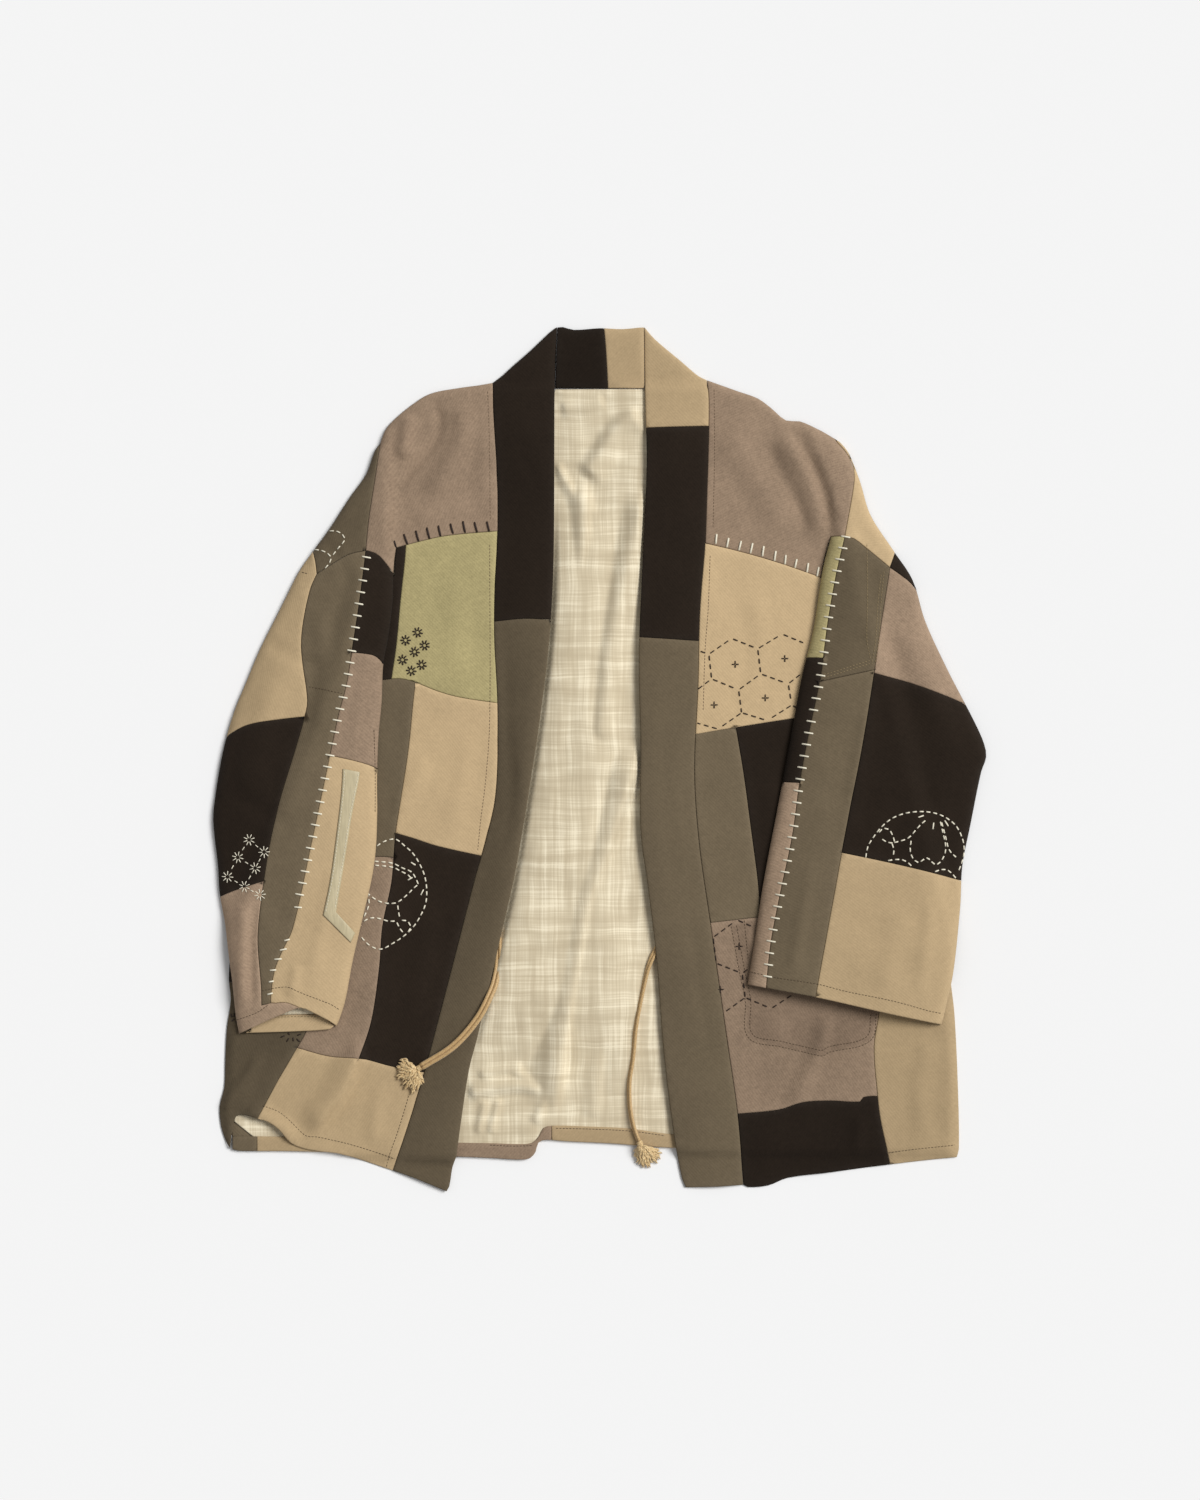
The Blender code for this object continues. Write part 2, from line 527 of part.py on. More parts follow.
def add_patch(name, panel, seeds, top, thickness, colour, lift=0.0, roughness=0.9):
    """Closed wall of cloth over one region of a panel."""
    faces = region(panel, seeds)
    placed, border = trim(panel[0], faces, SEAM_GAP / 2)
    order = {index: place for place, index in enumerate(sorted(placed))}
    spots = np.array([placed[index] for index in sorted(placed)])
    heights = top(spots[:, 0] + BOARD_MIDDLE[0], BOARD_MIDDLE[1] - spots[:, 1]) + lift
    count = len(spots)
    upper = [(x * MM, y * MM, z * MM) for (x, y), z in zip(spots, heights)]
    lower = [(x * MM, y * MM, (z - thickness) * MM) for (x, y), z in zip(spots, heights)]
    triangles = [tuple(order[i] for i in face) for face in faces]
    shell = list(triangles)
    shell += [(c + count, b + count, a + count) for a, b, c in triangles]
    for start, end in border:
        a, b = order[start], order[end]
        shell += [(a + count, b + count, b), (a + count, b, a)]
    mesh = bpy.data.meshes.new(name)
    mesh.from_pydata(upper + lower, [], shell)
    mesh.validate()
    return add_object(name, mesh, colour, roughness)


def add_tie(name, route, diameter, colour):
    """Tie cord that lies loose: a round tube along its route, given with heights."""
    spine = smooth_curve([(x, y) for x, y, _ in route], diameter * 2.5)
    given = np.array([(x, y) for x, y, _ in route], dtype=float)
    travelled = np.concatenate(([0], np.cumsum(np.linalg.norm(np.diff(given, axis=0), axis=1))))
    _, _, place = nearest(given, [p[0] for p in spine], [p[1] for p in spine])
    heights = np.interp(place * travelled[-1], travelled, [z for _, _, z in route])
    curve = bpy.data.curves.new(name, "CURVE")
    curve.dimensions = "3D"
    curve.bevel_depth = diameter / 2 * MM
    curve.bevel_resolution = 2
    curve.use_fill_caps = True
    spline = curve.splines.new("POLY")
    spline.points.add(len(spine) - 1)
    for point, (x, y), height in zip(spline.points, spine, heights):
        world_x, world_y = to_world(x, y)
        point.co = (world_x * MM, world_y * MM, height * MM, 1)
    curve.materials.append(fabric(name + "_cloth", colour, 0.6))
    piece = bpy.data.objects.new(name, curve)
    bpy.context.scene.collection.objects.link(piece)
    return piece


def strand(mesh, root, tip, radius):
    """Lock of a tassel: a three-sided tapered rod with a slight hump."""
    run = Vector(tip) - Vector(root)
    across = Vector((-run.y, run.x, 0)).normalized()
    middle = Vector(root) + run * 0.55 + Vector((0, 0, radius * 0.9))
    rings = []
    for centre, size in ((Vector(root), radius), (middle, radius), (Vector(tip), radius * 0.6)):
        ring = []
        for k in range(3):
            turn = math.tau * k / 3 + math.pi / 6
            offset = across * (size * math.cos(turn)) + Vector((0, 0, size * math.sin(turn)))
            ring.append(mesh.verts.new(centre + offset))
        rings.append(ring)
    for near, far in zip(rings[:-1], rings[1:]):
        for k in range(3):
            mesh.faces.new((near[k], near[(k + 1) % 3], far[(k + 1) % 3], far[k]))
    mesh.faces.new(rings[0][::-1])
    mesh.faces.new(rings[-1])


def add_tassel(name, tie, fan, layers, colour):
    """Tassel on the end of a tie: a knot with locks fanned out from it, fused at their roots."""
    before, last = (Vector((*to_world(x, y), z)) for x, y, z in tie[-2:])
    along = (last - before).normalized()
    side = Vector((-along.y, along.x, 0)).normalized()
    over = along.cross(side)
    knot = bmesh.new()
    rings = []
    for distance, radius in TASSEL_KNOT:
        centre = last + along * (distance + CORD_TOUCH)
        turns = [math.tau * k / 8 for k in range(8)]
        rings.append([knot.verts.new((centre + (side * math.cos(t) + over * math.sin(t)) * radius) * MM)
                      for t in turns])
    for near, far in zip(rings[:-1], rings[1:]):
        for k in range(8):
            knot.faces.new((near[k], near[(k + 1) % 8], far[(k + 1) % 8], far[k]))
    knot.faces.new(rings[0][::-1])
    knot.faces.new(rings[-1])
    bmesh.ops.recalc_face_normals(knot, faces=knot.faces)
    mesh = bpy.data.meshes.new(name)
    knot.to_mesh(mesh)
    knot.free()
    piece = add_object(name, mesh, colour, 0.8)
    heart = last + along * 3.2
    for index, (count, share, drop, tip_height) in enumerate(layers):
        locks = bmesh.new()
        for k in range(count):
            place = k / (count - 1) * (len(fan) - 1)
            turn = math.radians(np.interp(place, range(len(fan)), [way for way, _ in fan]))
            reach = np.interp(place, range(len(fan)), [length for _, length in fan]) * share
            way = Vector((math.cos(turn), math.sin(turn), 0))
            tip = heart + way * reach
            tip.z = tip_height
            strand(locks, (heart + way - Vector((0, 0, drop))) * MM, tip * MM, LOCK_RADIUS * MM)
        bmesh.ops.recalc_face_normals(locks, faces=locks.faces)
        lock_mesh = bpy.data.meshes.new(f"{name}_locks_{index}")
        locks.to_mesh(lock_mesh)
        locks.free()
        cutter = bpy.data.objects.new(f"{name}_locks_{index}", lock_mesh)
        cutter.hide_render = True
        cutter.display_type = "WIRE"
        bpy.context.scene.collection.objects.link(cutter)
        union = piece.modifiers.new(f"locks_{index}", "BOOLEAN")
        union.operation = "UNION"
        union.object = cutter
        union.use_self = True
    return piece


# Cloth colours, linear
DARK = (0.025, 0.016, 0.011)
OLIVE = (0.15, 0.11, 0.067)
MAUVE = (0.27, 0.19, 0.145)
BEIGE = (0.48, 0.35, 0.20)
GREEN = (0.43, 0.41, 0.17)
CREAM = (0.69, 0.62, 0.46)
CORD = (0.58, 0.39, 0.19)
SATIN = (0.60, 0.55, 0.42)


def flat_at(height):
    """Height function of a layer that lies level."""
    def level(x, y):
        return np.full(len(x), height)
    return level


# Lines where the cloth above has to break: past the back's hem, and beside a front under its sleeve
HEM_LINE = smooth_curve([(218, 1148.5)] + BACK_HEM + [(966, 1150)], HIDDEN_STEP)
HEM_CREASES = [beside(HEM_LINE, -1.0), beside(HEM_LINE, -BACK_INSET)]
LEFT_SIDE_LINE = smooth_curve(LEFT_SIDE_HIDDEN)
LEFT_SIDE_CREASES = [beside(LEFT_SIDE_LINE, -2.0), beside(LEFT_SIDE_LINE, -25.0)]
RIGHT_SIDE_LINE = smooth_curve(RIGHT_SIDE_HIDDEN)
RIGHT_SIDE_CREASES = [beside(RIGHT_SIDE_LINE, -2.0), beside(RIGHT_SIDE_LINE, -25.0)]


def add_back():
    """Back of the jacket: four outer panels, the lining on them and the turned-up hem."""
    outer_seams = [[(384, 1165), (384, 380)], [(551.5, 1150), (551.5, 380)], [(257.2, 1160), (257.2, 996)],
                   [(258.2, 996), (225, 996)]]
    outer = cut_panel(BACK_OUTLINE, outer_seams, step=400)
    add_patch("back_olive", outer, [(250, 1060)], flat_at(BACK_CLOTH), BACK_CLOTH, OLIVE)
    add_patch("back_beige_left", outer, [(320, 1000)], flat_at(BACK_CLOTH), BACK_CLOTH, BEIGE)
    add_patch("back_mauve", outer, [(450, 800)], flat_at(BACK_CLOTH), BACK_CLOTH, MAUVE)
    add_patch("back_beige_right", outer, [(700, 800)], flat_at(BACK_CLOTH), BACK_CLOTH, BEIGE)

    neck = [(646, 393), (644.6, 389.4), (600, 389.4), (555.2, 389.4), (554, 393)]
    left_edge = beside(smooth_curve(BACK_LEFT, HIDDEN_STEP), LINING_INSET)[1:-2]
    right_edge = beside(smooth_curve(BACK_RIGHT, HIDDEN_STEP), LINING_INSET)[2:-1]
    lower_edge = beside(smooth_curve(LINING_HEM, HIDDEN_STEP), -5.0)[1:-1]
    lining = cut_panel(neck + left_edge + lower_edge + right_edge, [], routes=LINING_FOLDS, step=90)
    add_patch("back_lining", lining, [(600, 600)], lining_top, LINING_CLOTH, CREAM)

    hem_seams = [[(257.2, 1160), (257.2, 1120)], [(384, 1165), (384, 1120)], [(551.5, 1150), (551.5, 1115)]]
    hem = cut_panel(HEM_STRIP, hem_seams, step=400)
    for name, seed, colour in (("olive", (245, 1143), OLIVE), ("beige_left", (320, 1144), BEIGE),
                               ("mauve", (450, 1149), MAUVE), ("beige_right", (700, 1141), BEIGE)):
        add_patch("back_hem_" + name, hem, [seed], flat_at(HEM_TOP), HEM_CLOTH, colour)


def add_bands():
    """Neck band and the two front bands, each cut from a dark, a beige or an olive piece."""
    left = cut_panel(loop_of([LEFT_BAND_INNER, COLLAR_LEFT, LEFT_BAND_OUTER, LEFT_BAND_HEM, LEFT_BAND_TIP]),
                     [[(490, 622.2), (524.5, 619), (553, 620.5)]], rolled=[smooth_curve(COLLAR_LEFT)],
                     creases=HEM_CREASES)
    add_patch("left_band_dark", left, [(525, 500)], left_band_top, BAND_CLOTH, DARK)
    add_patch("left_band_olive", left, [(500, 800)], left_band_top, BAND_CLOTH, OLIVE)
    neck = cut_panel([(557.4, 327.6), *smooth_curve(COLLAR_BACK)[::-1][1:-1], (643.9, 327.6), (644.5, 388.6),
                      (600, 388.8), (555.3, 388.4), (556.2, 356)], [[(603.6, 326), (605.5, 347), (608, 391)]],
                     rolled=[smooth_curve(COLLAR_BACK)])
    add_patch("neck_band_dark", neck, [(580, 350)], neck_band_top, BAND_CLOTH, DARK)
    add_patch("neck_band_beige", neck, [(625, 350)], neck_band_top, BAND_CLOTH, BEIGE)
    right = cut_panel(loop_of([RIGHT_BAND_INNER, COLLAR_RIGHT, RIGHT_BAND_OUTER, RIGHT_BAND_HEM]),
                      [[(643, 428.5), (711, 426.5)], [(636, 637.2), (662.6, 638.8), (702, 641.3)]],
                      rolled=[smooth_curve(COLLAR_RIGHT)], creases=HEM_CREASES)
    add_patch("right_band_beige", right, [(680, 400)], right_band_top, BAND_CLOTH, BEIGE)
    add_patch("right_band_dark", right, [(675, 550)], right_band_top, BAND_CLOTH, DARK)
    add_patch("right_band_olive", right, [(670, 900)], right_band_top, BAND_CLOTH, OLIVE)


def add_left_front():
    """Left front: shoulder patch that runs on to the sleeve head, and eight patches below it."""
    shoulder = cut_panel(loop_of([LEFT_SHOULDER, [(492.8, 383), (494, 420.5), (497.4, 480), (497.8, 531.4)],
                                  [(497.8, 531.4), (465, 534), (441, 537), (419, 542), (396.5, 548)],
                                  [(396.5, 548), (394.8, 560), (393.8, 574)],
                                  [(393.8, 574), (384, 561), (376, 554), (366.5, 551.5)],
                                  [(366.5, 551.5), (369.5, 520), (375.4, 480), (380.5, 443.5)]]), [],
                         rolled=[LEFT_SILHOUETTE], routes=LEFT_SHOULDER_FOLDS,
                         creases=[smooth_curve(LEFT_CREASE)])
    add_patch("left_front_mauve_shoulder", shoulder, [(450, 450)], left_shoulder_top, OUTER_CLOTH, MAUVE)

    inner = [(497.8, 531.4), (494.6, 600), (494.6, 640), (497.8, 712), (495.7, 795), (485.7, 841), (475, 878),
             (450.5, 973), (427, 1062), (412.2, 1112.6), (393, 1170.4)]
    outline = loop_of([[(497.8, 531.4), (465, 534), (441, 537), (419, 542), (396.5, 548)],
                       [(396.5, 548), (395, 562), (394.4, 576)], [(394.4, 576), (384, 578.5), (372, 584)],
                       LEFT_SIDE_HIDDEN, LEFT_SIDE_SHOWN, LEFT_FRONT_HEM_RAISED, LEFT_FRONT_HEM_LOW, inner])
    seams = [
        [(406.3, 541), (405, 560), (400.5, 602), (396.6, 644), (391.3, 681)],
        [(362, 681), (383.6, 680), (400, 678.7), (415.5, 682.4), (437, 691), (460, 697.4), (501, 703.6)],
        [(415.5, 681), (413.2, 702), (408.4, 749.5), (401.3, 797), (395.8, 832), (393.9, 857),
         (391.6, 883), (382.7, 926), (379.5, 967), (371.7, 1020), (359.6, 1058.6)],
        [(394.4, 832.6), (413, 838), (437, 845.8), (487, 857)],
        [(352, 855.6), (376, 856.4), (395, 857)],
        [(363, 679), (361, 760), (353, 857), (340, 930), (318, 985), (306.8, 1030), (297, 1048),
         (276.6, 1083), (256.5, 1121)],
        [(220, 981), (260, 984), (320, 985)],
        [(295, 1046.8), (329.7, 1055.8), (360.3, 1057.6), (391.6, 1065.8), (431, 1073)],
    ]
    panel = cut_panel(outline, seams, rolled=[LEFT_SIDE], routes=LEFT_FRONT_FOLDS, creases=HEM_CREASES)
    for name, seed, colour in (("dark_side", (330, 850), DARK), ("green", (450, 620), GREEN),
                               ("olive_strip", (380, 770), OLIVE), ("beige", (440, 770), BEIGE),
                               ("mauve_strip", (345, 1000), MAUVE), ("dark", (420, 950), DARK),
                               ("beige_hem", (360, 1110), BEIGE), ("olive_side", (250, 1060), OLIVE)):
        add_patch("left_front_" + name, panel, [seed], left_front_top, OUTER_CLOTH, colour)


def add_right_front():
    """Right front: shoulder patch that runs on to the sleeve head, and six patches below it."""
    shoulder = cut_panel(loop_of([RIGHT_SHOULDER, [(706.8, 380.4), (708.6, 400), (707.8, 457), (705, 543.6)],
                                  [(705, 543.6), (736.3, 551), (775, 562), (820.4, 577.6)],
                                  [(820.4, 577.6), (826.3, 549.6), (830.6, 537)], [(830.6, 537), (843.6, 537.2)],
                                  [(843.6, 537.2), (852, 492), (853.6, 473), (847.3, 454), (834, 438.6)]]), [],
                         rolled=[RIGHT_SILHOUETTE], routes=RIGHT_SHOULDER_FOLDS,
                         creases=[smooth_curve(RIGHT_CREASE)])
    add_patch("right_front_mauve_shoulder", shoulder, [(750, 480)], right_shoulder_top, OUTER_CLOTH, MAUVE)

    inner = [(705, 543.6), (699.6, 612), (697.7, 686), (694.2, 772), (699, 844), (710, 922), (726.8, 1040),
             (737.3, 1113.4), (743.2, 1184.6)]
    outline = loop_of([inner, RIGHT_FRONT_HEM, RIGHT_SIDE_SHOWN, RIGHT_SIDE_HIDDEN,
                       [(848, 596), (838, 589), (826, 583.5), (820.4, 577.6)],
                       [(820.4, 577.6), (775, 562), (736.3, 551), (705, 543.6)]])
    seams = [
        [(692, 735), (735.5, 727.5), (792, 718.6), (840, 712), (890, 708)],
        [(735.5, 726), (743.4, 774), (751.3, 833), (757.4, 880), (760.6, 917.4)],
        [(705, 923), (757, 917), (830, 908), (890, 905.5)],
        [(938, 900), (888, 905.8), (886, 950), (878.6, 1012), (873.4, 1046), (877, 1095.5), (879.7, 1118),
         (886.4, 1149), (890.6, 1168)],
        [(733, 1113.6), (779, 1109), (801.6, 1101.8), (830, 1100.2), (859.6, 1101), (863, 1096.6), (878, 1095.5)],
    ]
    panel = cut_panel(outline, seams, rolled=[RIGHT_SIDE], routes=RIGHT_FRONT_FOLDS, creases=HEM_CREASES)
    for name, seed, colour in (("hexagon_beige", (750, 640), BEIGE), ("olive", (720, 830), OLIVE),
                               ("dark", (800, 820), DARK), ("pocket_mauve", (800, 980), MAUVE),
                               ("dark_hem", (800, 1140), DARK), ("beige_side", (920, 1060), BEIGE)):
        add_patch("right_front_" + name, panel, [seed], right_front_top, OUTER_CLOTH, colour)


def add_left_sleeve():
    """Left sleeve, folded down over the front: upper patches, satin tape, lower layer and facing."""
    stitched = [(366.5, 551.5), (361, 599.5), (352.9, 653), (347.6, 686), (339.7, 716), (330.3, 760.5),
                (313, 842.6), (294.3, 927.6), (284, 949.7), (276, 970), (272.4, 997), (272.6, 1001.5),
                (282.5, 1001), (290, 1001.6), (305, 1008)]
    armhole = [(366.5, 551.5), (369.5, 520), (375.4, 480), (380.5, 443.5)]
    head = [(393.8, 574), (384, 561), (376, 554), (366.5, 551.5)]
    cuff = [(240, 1033), (262, 1022.6), (281, 1014.2), (302.4, 1006.4), (312, 1010), (320.8, 1014.5),
            (330.5, 1020), (337.8, 1025.6)]
    outline = loop_of([LEFT_SLEEVE_OUTER, cuff, LEFT_SLEEVE_INNER, head, armhole])
    strip_edge = [(317.6, 574.4), (311, 590), (303.4, 628), (302.6, 653), (308.5, 700.5), (305.8, 716.8),
                  (295.5, 752.6), (279.7, 806), (268.7, 860), (261.2, 916), (259.7, 942), (263, 985),
                  (263.4, 1004)]
    tape = [(344.5, 768.4), (343, 794), (338.6, 831.6), (332, 880), (325, 914), (352, 942), (356.4, 932),
            (338, 911), (347, 857), (354, 812.6), (360.7, 778.7), (361.4, 771.6), (344.5, 768.4)]
    seams = [
        stitched, strip_edge,
        [(370, 551), (350, 555), (330, 566.5), (317.6, 574.4)],
        [(317.6, 574.4), (316, 562), (312.4, 549)],
        [(351, 652.6), (373.7, 655.5), (380, 659.5), (387, 668)],
        [(328.4, 754.8), (358, 761.3), (374.5, 766.8), (381, 772)],
        [(222, 742), (230, 734.5), (249, 725), (279, 719.8), (307, 716.6)],
        [(216, 898.6), (234, 890.7), (264.8, 880.4), (267, 879.7)],
        [(263.4, 1004), (272.6, 1001.5)],
    ]
    panel = cut_panel(outline, seams + [tape[k:k + 2] for k in range(len(tape) - 1)],
                      creases=LEFT_SIDE_CREASES, routes=LEFT_SLEEVE_FOLDS,
                      rolled=[LEFT_SILHOUETTE, smooth_curve(LEFT_SLEEVE_INNER)])
    for name, seeds, colour in (("olive_top", [(350, 520)], OLIVE), ("beige", [(270, 670)], BEIGE),
                                ("dark", [(250, 800)], DARK), ("mauve_cuff", [(245, 950)], MAUVE),
                                ("olive_strip", [(310, 800)], OLIVE), ("inner_dark", [(375, 620)], DARK),
                                ("inner_mauve", [(360, 710)], MAUVE),
                                ("inner_beige", [(335, 990), (350, 785)], BEIGE)):
        add_patch("left_sleeve_" + name, panel, seeds, left_sleeve_top, OUTER_CLOTH, colour)
    add_patch("left_sleeve_tape", panel, [(350, 785)], left_sleeve_top, TAPE_CLOTH, SATIN,
              lift=SEAM_GAP + TAPE_CLOTH, roughness=0.35)

    under = loop_of([[(242.6, 1032.4), (252, 1028.4), (249.6, 1012), (244, 960), (236, 920), (229.5, 868),
                      (225, 822), (232, 756), (243, 716), (257, 683), (272, 650), (298, 600), (322, 585),
                      (372, 585), (381, 600), (376.5, 640), (372, 690), (367, 760), (367, 812), (364.6, 860),
                      (353, 914), (340, 965), (332, 1000), (325, 1013), (334.8, 1025.2)],
                     [(334.8, 1025.2), (331, 1028.4), (300, 1030.6), (242.6, 1032.4)]])
    facing_top = [(246, 1016.4), (281, 1014.6), (318, 1013.4), (336, 1013)]
    lower = cut_panel(under, [facing_top], creases=LEFT_SIDE_CREASES, step=60)
    add_patch("left_sleeve_under", lower, [(300, 900), (290, 1024)], left_under_top, UNDER_SLEEVE, BEIGE)
    add_patch("left_sleeve_cuff_facing", lower, [(290, 1024)], left_under_top, LINING_CLOTH, BEIGE,
              lift=SEAM_GAP + LINING_CLOTH)
    lining = cut_panel([(262, 1015), (262, 1000), (318, 1000), (318, 1013)], [], step=60)
    add_patch("left_sleeve_cuff_lining", lining, [(290, 1008)], left_under_top, LINING_CLOTH, CREAM,
              lift=SEAM_GAP + LINING_CLOTH)


def add_right_sleeve():
    """Right sleeve, folded down over the front: upper patches and the lower layer."""
    stitched = [(843.6, 537.2), (835, 574.5), (826.4, 623.7), (819.5, 675), (805.7, 742), (798.3, 783),
                (790.8, 837), (778.2, 897), (769.2, 946), (764.8, 990)]
    armhole = [(843.6, 537.2), (852, 492), (853.6, 473), (847.3, 454), (834, 438.6)]
    cuff = [(747, 984), (766, 987), (815, 996), (875, 1009.6), (941, 1024)]
    outline = loop_of([RIGHT_SLEEVE_OUTER, cuff, RIGHT_SLEEVE_INNER, [(830.6, 537), (843.6, 537.2)], armhole])
    strip_edge = [(889, 568), (883.7, 600), (875.8, 649), (869, 695), (859, 754), (847.2, 813.5),
                  (836.3, 873), (826.2, 928), (816, 984), (813.6, 1000)]
    seams = [
        stitched, strip_edge,
        [(843.6, 537.2), (853, 539.6), (862.6, 546.7), (889, 568)],
        [(896.6, 546.5), (893.4, 556), (889, 568)],
        [(889, 568), (901, 576.4), (910.5, 584), (922, 598)],
        [(816, 682.6), (846, 676), (874, 670)],
        [(802, 657.8), (822.6, 658.2)],
        [(778, 781.8), (799.6, 782.6)],
        [(871.4, 673.4), (907.5, 683), (947, 697), (966, 705)],
        [(839.4, 851.8), (887.7, 862), (930, 872), (966, 882)],
    ]
    panel = cut_panel(outline, seams, creases=RIGHT_SIDE_CREASES, routes=RIGHT_SLEEVE_FOLDS,
                      rolled=[RIGHT_SILHOUETTE, smooth_curve(RIGHT_SLEEVE_INNER)])
    for name, seed, colour in (("beige_top", (865, 520), BEIGE), ("dark_bit", (899, 566), DARK),
                               ("mauve", (910, 650), MAUVE), ("dark", (920, 760), DARK),
                               ("beige_cuff", (880, 940), BEIGE), ("olive_upper", (855, 600), OLIVE),
                               ("olive_lower", (830, 800), OLIVE), ("green", (830, 570), GREEN),
                               ("inner_dark", (804, 720), DARK), ("inner_mauve", (775, 880), MAUVE)):
        add_patch("right_sleeve_" + name, panel, [seed], right_sleeve_top, OUTER_CLOTH, colour)
    under = loop_of([[(760, 978), (764, 944), (774, 885), (788, 808), (800, 750), (812, 680), (824, 632),
                      (834, 600), (846, 590), (884, 590), (904, 612), (930, 676), (958, 732), (971, 758),
                      (956, 827), (950, 866), (948, 908), (941, 970), (932, 1016)],
                     [(932, 1016), (875, 1003.6), (815, 990), (760, 978)]])
    lower = cut_panel(under, [], creases=RIGHT_SIDE_CREASES, step=60)
    add_patch("right_sleeve_under", lower, [(850, 850)], right_under_top, UNDER_SLEEVE, BEIGE)


# Ties: points on the board with the height of the cord's middle, from the sewn end to the tassel
LEFT_TIE = [(507.0, 921, 6.4), (504.4, 940, 6.4), (501.2, 962, 6.4), (497.0, 982, 7.8), (492.0, 998, 12.2),
            (486, 1010, 14.6), (478, 1020.5, 14.8), (469, 1031, 14.8), (459, 1041.5, 14.6), (447, 1052, 13.7),
            (434, 1060, 12.1), (421.5, 1066, 10.6)]
RIGHT_TIE = [(652.4, 956, 5.5), (647.3, 970.5, 5.5), (641, 998, 5.5), (635.7, 1027, 5.5), (632.6, 1059, 5.5),
             (629.4, 1080, 5.5), (629.4, 1101, 5.5), (631.6, 1118, 6.9), (635, 1131, 7.0), (639, 1140.5, 7.9)]
# Fans of locks: way in degrees and length of the locks across the fan; then for each layer of locks
# their count, share of that length, how far below the knot's middle they start, and their tips' height
LEFT_FAN = [(144, 18.6), (170, 22.4), (204, 24), (236, 26.6), (254, 29), (266, 27), (277, 21), (292, 15)]
LEFT_LOCKS = [(10, 1.0, 0.6, 8.0), (6, 0.78, -1.2, 9.6)]
RIGHT_FAN = [(226, 10), (248, 15), (270, 22), (295, 24), (318, 23), (336, 20)]
RIGHT_LOCKS = [(8, 1.0, 0.4, 1.4), (5, 0.74, -1.2, 3.4)]


def add_ties():
    """Cord ties sewn into the bands' edges, each ending in a tassel."""
    add_tie("left_tie", LEFT_TIE, LEFT_TIE_DIAMETER, CORD)
    add_tie("right_tie", RIGHT_TIE, TIE_DIAMETER, CORD)
    add_tassel("left_tassel", LEFT_TIE, LEFT_FAN, LEFT_LOCKS, CORD)
    add_tassel("right_tassel", RIGHT_TIE, RIGHT_FAN, RIGHT_LOCKS, CORD)


clear_scene()
add_back()
add_bands()
add_left_front()
add_right_front()
add_left_sleeve()
add_right_sleeve()
add_ties()
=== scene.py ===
"""Patched boro jacket, laid flat on its back with its fronts open and its sleeves folded down.

Seams are drawn in millimetres on a laying board, as in the part's source: x runs right and y runs
down, and heights are above the floor. Each cloth piece is cut from its panel along those seams.
"""

import math
import random

import bmesh
import bpy
import numpy as np
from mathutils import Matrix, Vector, noise
from mathutils.geometry import delaunay_2d_cdt


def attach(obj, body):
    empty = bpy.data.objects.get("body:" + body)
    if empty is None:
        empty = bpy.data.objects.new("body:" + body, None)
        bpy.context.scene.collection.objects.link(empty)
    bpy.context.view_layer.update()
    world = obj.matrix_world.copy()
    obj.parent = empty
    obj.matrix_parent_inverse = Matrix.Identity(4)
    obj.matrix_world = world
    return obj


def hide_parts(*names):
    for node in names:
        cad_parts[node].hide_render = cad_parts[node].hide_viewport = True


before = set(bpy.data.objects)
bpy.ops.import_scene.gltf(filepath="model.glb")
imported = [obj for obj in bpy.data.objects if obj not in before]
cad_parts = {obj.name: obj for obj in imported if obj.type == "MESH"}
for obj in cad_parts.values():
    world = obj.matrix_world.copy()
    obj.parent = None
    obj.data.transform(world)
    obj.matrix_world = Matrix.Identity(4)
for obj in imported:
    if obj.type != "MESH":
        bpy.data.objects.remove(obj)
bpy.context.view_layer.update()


# Camera, table and light. The jacket lies on a matt white table and is photographed from straight
# above with a long lens. A large soft light hangs above it, a little to the upper right, in a white
# room that fills the shadows.

BOARD_MIDDLE = (599.7, 759.1)      # board point at the frame's origin
PHOTO_CENTRE = (600, 750)
CAMERA_HEIGHT = 3.5417             # metres; with an 85 mm lens the picture is 1.5 m tall


def board(x, y, height=0.0):
    """Board point in millimetres to the frame in metres."""
    return Vector(((x - BOARD_MIDDLE[0]) / 1000, (BOARD_MIDDLE[1] - y) / 1000, height / 1000))


def linear(colour):
    """sRGB hex colour to linear light."""
    parts = [int(colour[i:i + 2], 16) / 255 for i in (1, 3, 5)]
    return [p / 12.92 if p <= 0.04045 else ((p + 0.055) / 1.055) ** 2.4 for p in parts] + [1.0]


def add_node(tree, kind, settings=(), links=()):
    """Add a shader node, set its options and sockets, and link its inputs from (node, output)."""
    made = tree.nodes.new("ShaderNode" + kind)
    for key, value in dict(settings).items():
        if isinstance(key, str) and key.islower():
            setattr(made, key, value)
        else:
            made.inputs[key].default_value = value
    for key, (source, output) in dict(links).items():
        tree.links.new(source.outputs[output], made.inputs[key])
    return made


camera = bpy.data.objects.new("camera", bpy.data.cameras.new("camera"))
camera.data.lens = 85
camera.data.sensor_width = 36
camera.data.clip_end = 20
camera.location = board(*PHOTO_CENTRE) + Vector((0, 0, CAMERA_HEIGHT))
bpy.context.scene.collection.objects.link(camera)
bpy.context.scene.camera = camera

bpy.ops.mesh.primitive_plane_add(size=9, location=(0, 0, 0))
floor = bpy.context.object
floor.name = "floor"
table_paper = bpy.data.materials.new("matt_white_paper")
table_paper.use_nodes = True
table_paper.node_tree.nodes["Principled BSDF"].inputs["Base Color"].default_value = linear("#f4f4f4")
table_paper.node_tree.nodes["Principled BSDF"].inputs["Roughness"].default_value = 1.0
table_paper.node_tree.nodes["Principled BSDF"].inputs["Specular IOR Level"].default_value = 0.1
floor.data.materials.append(table_paper)

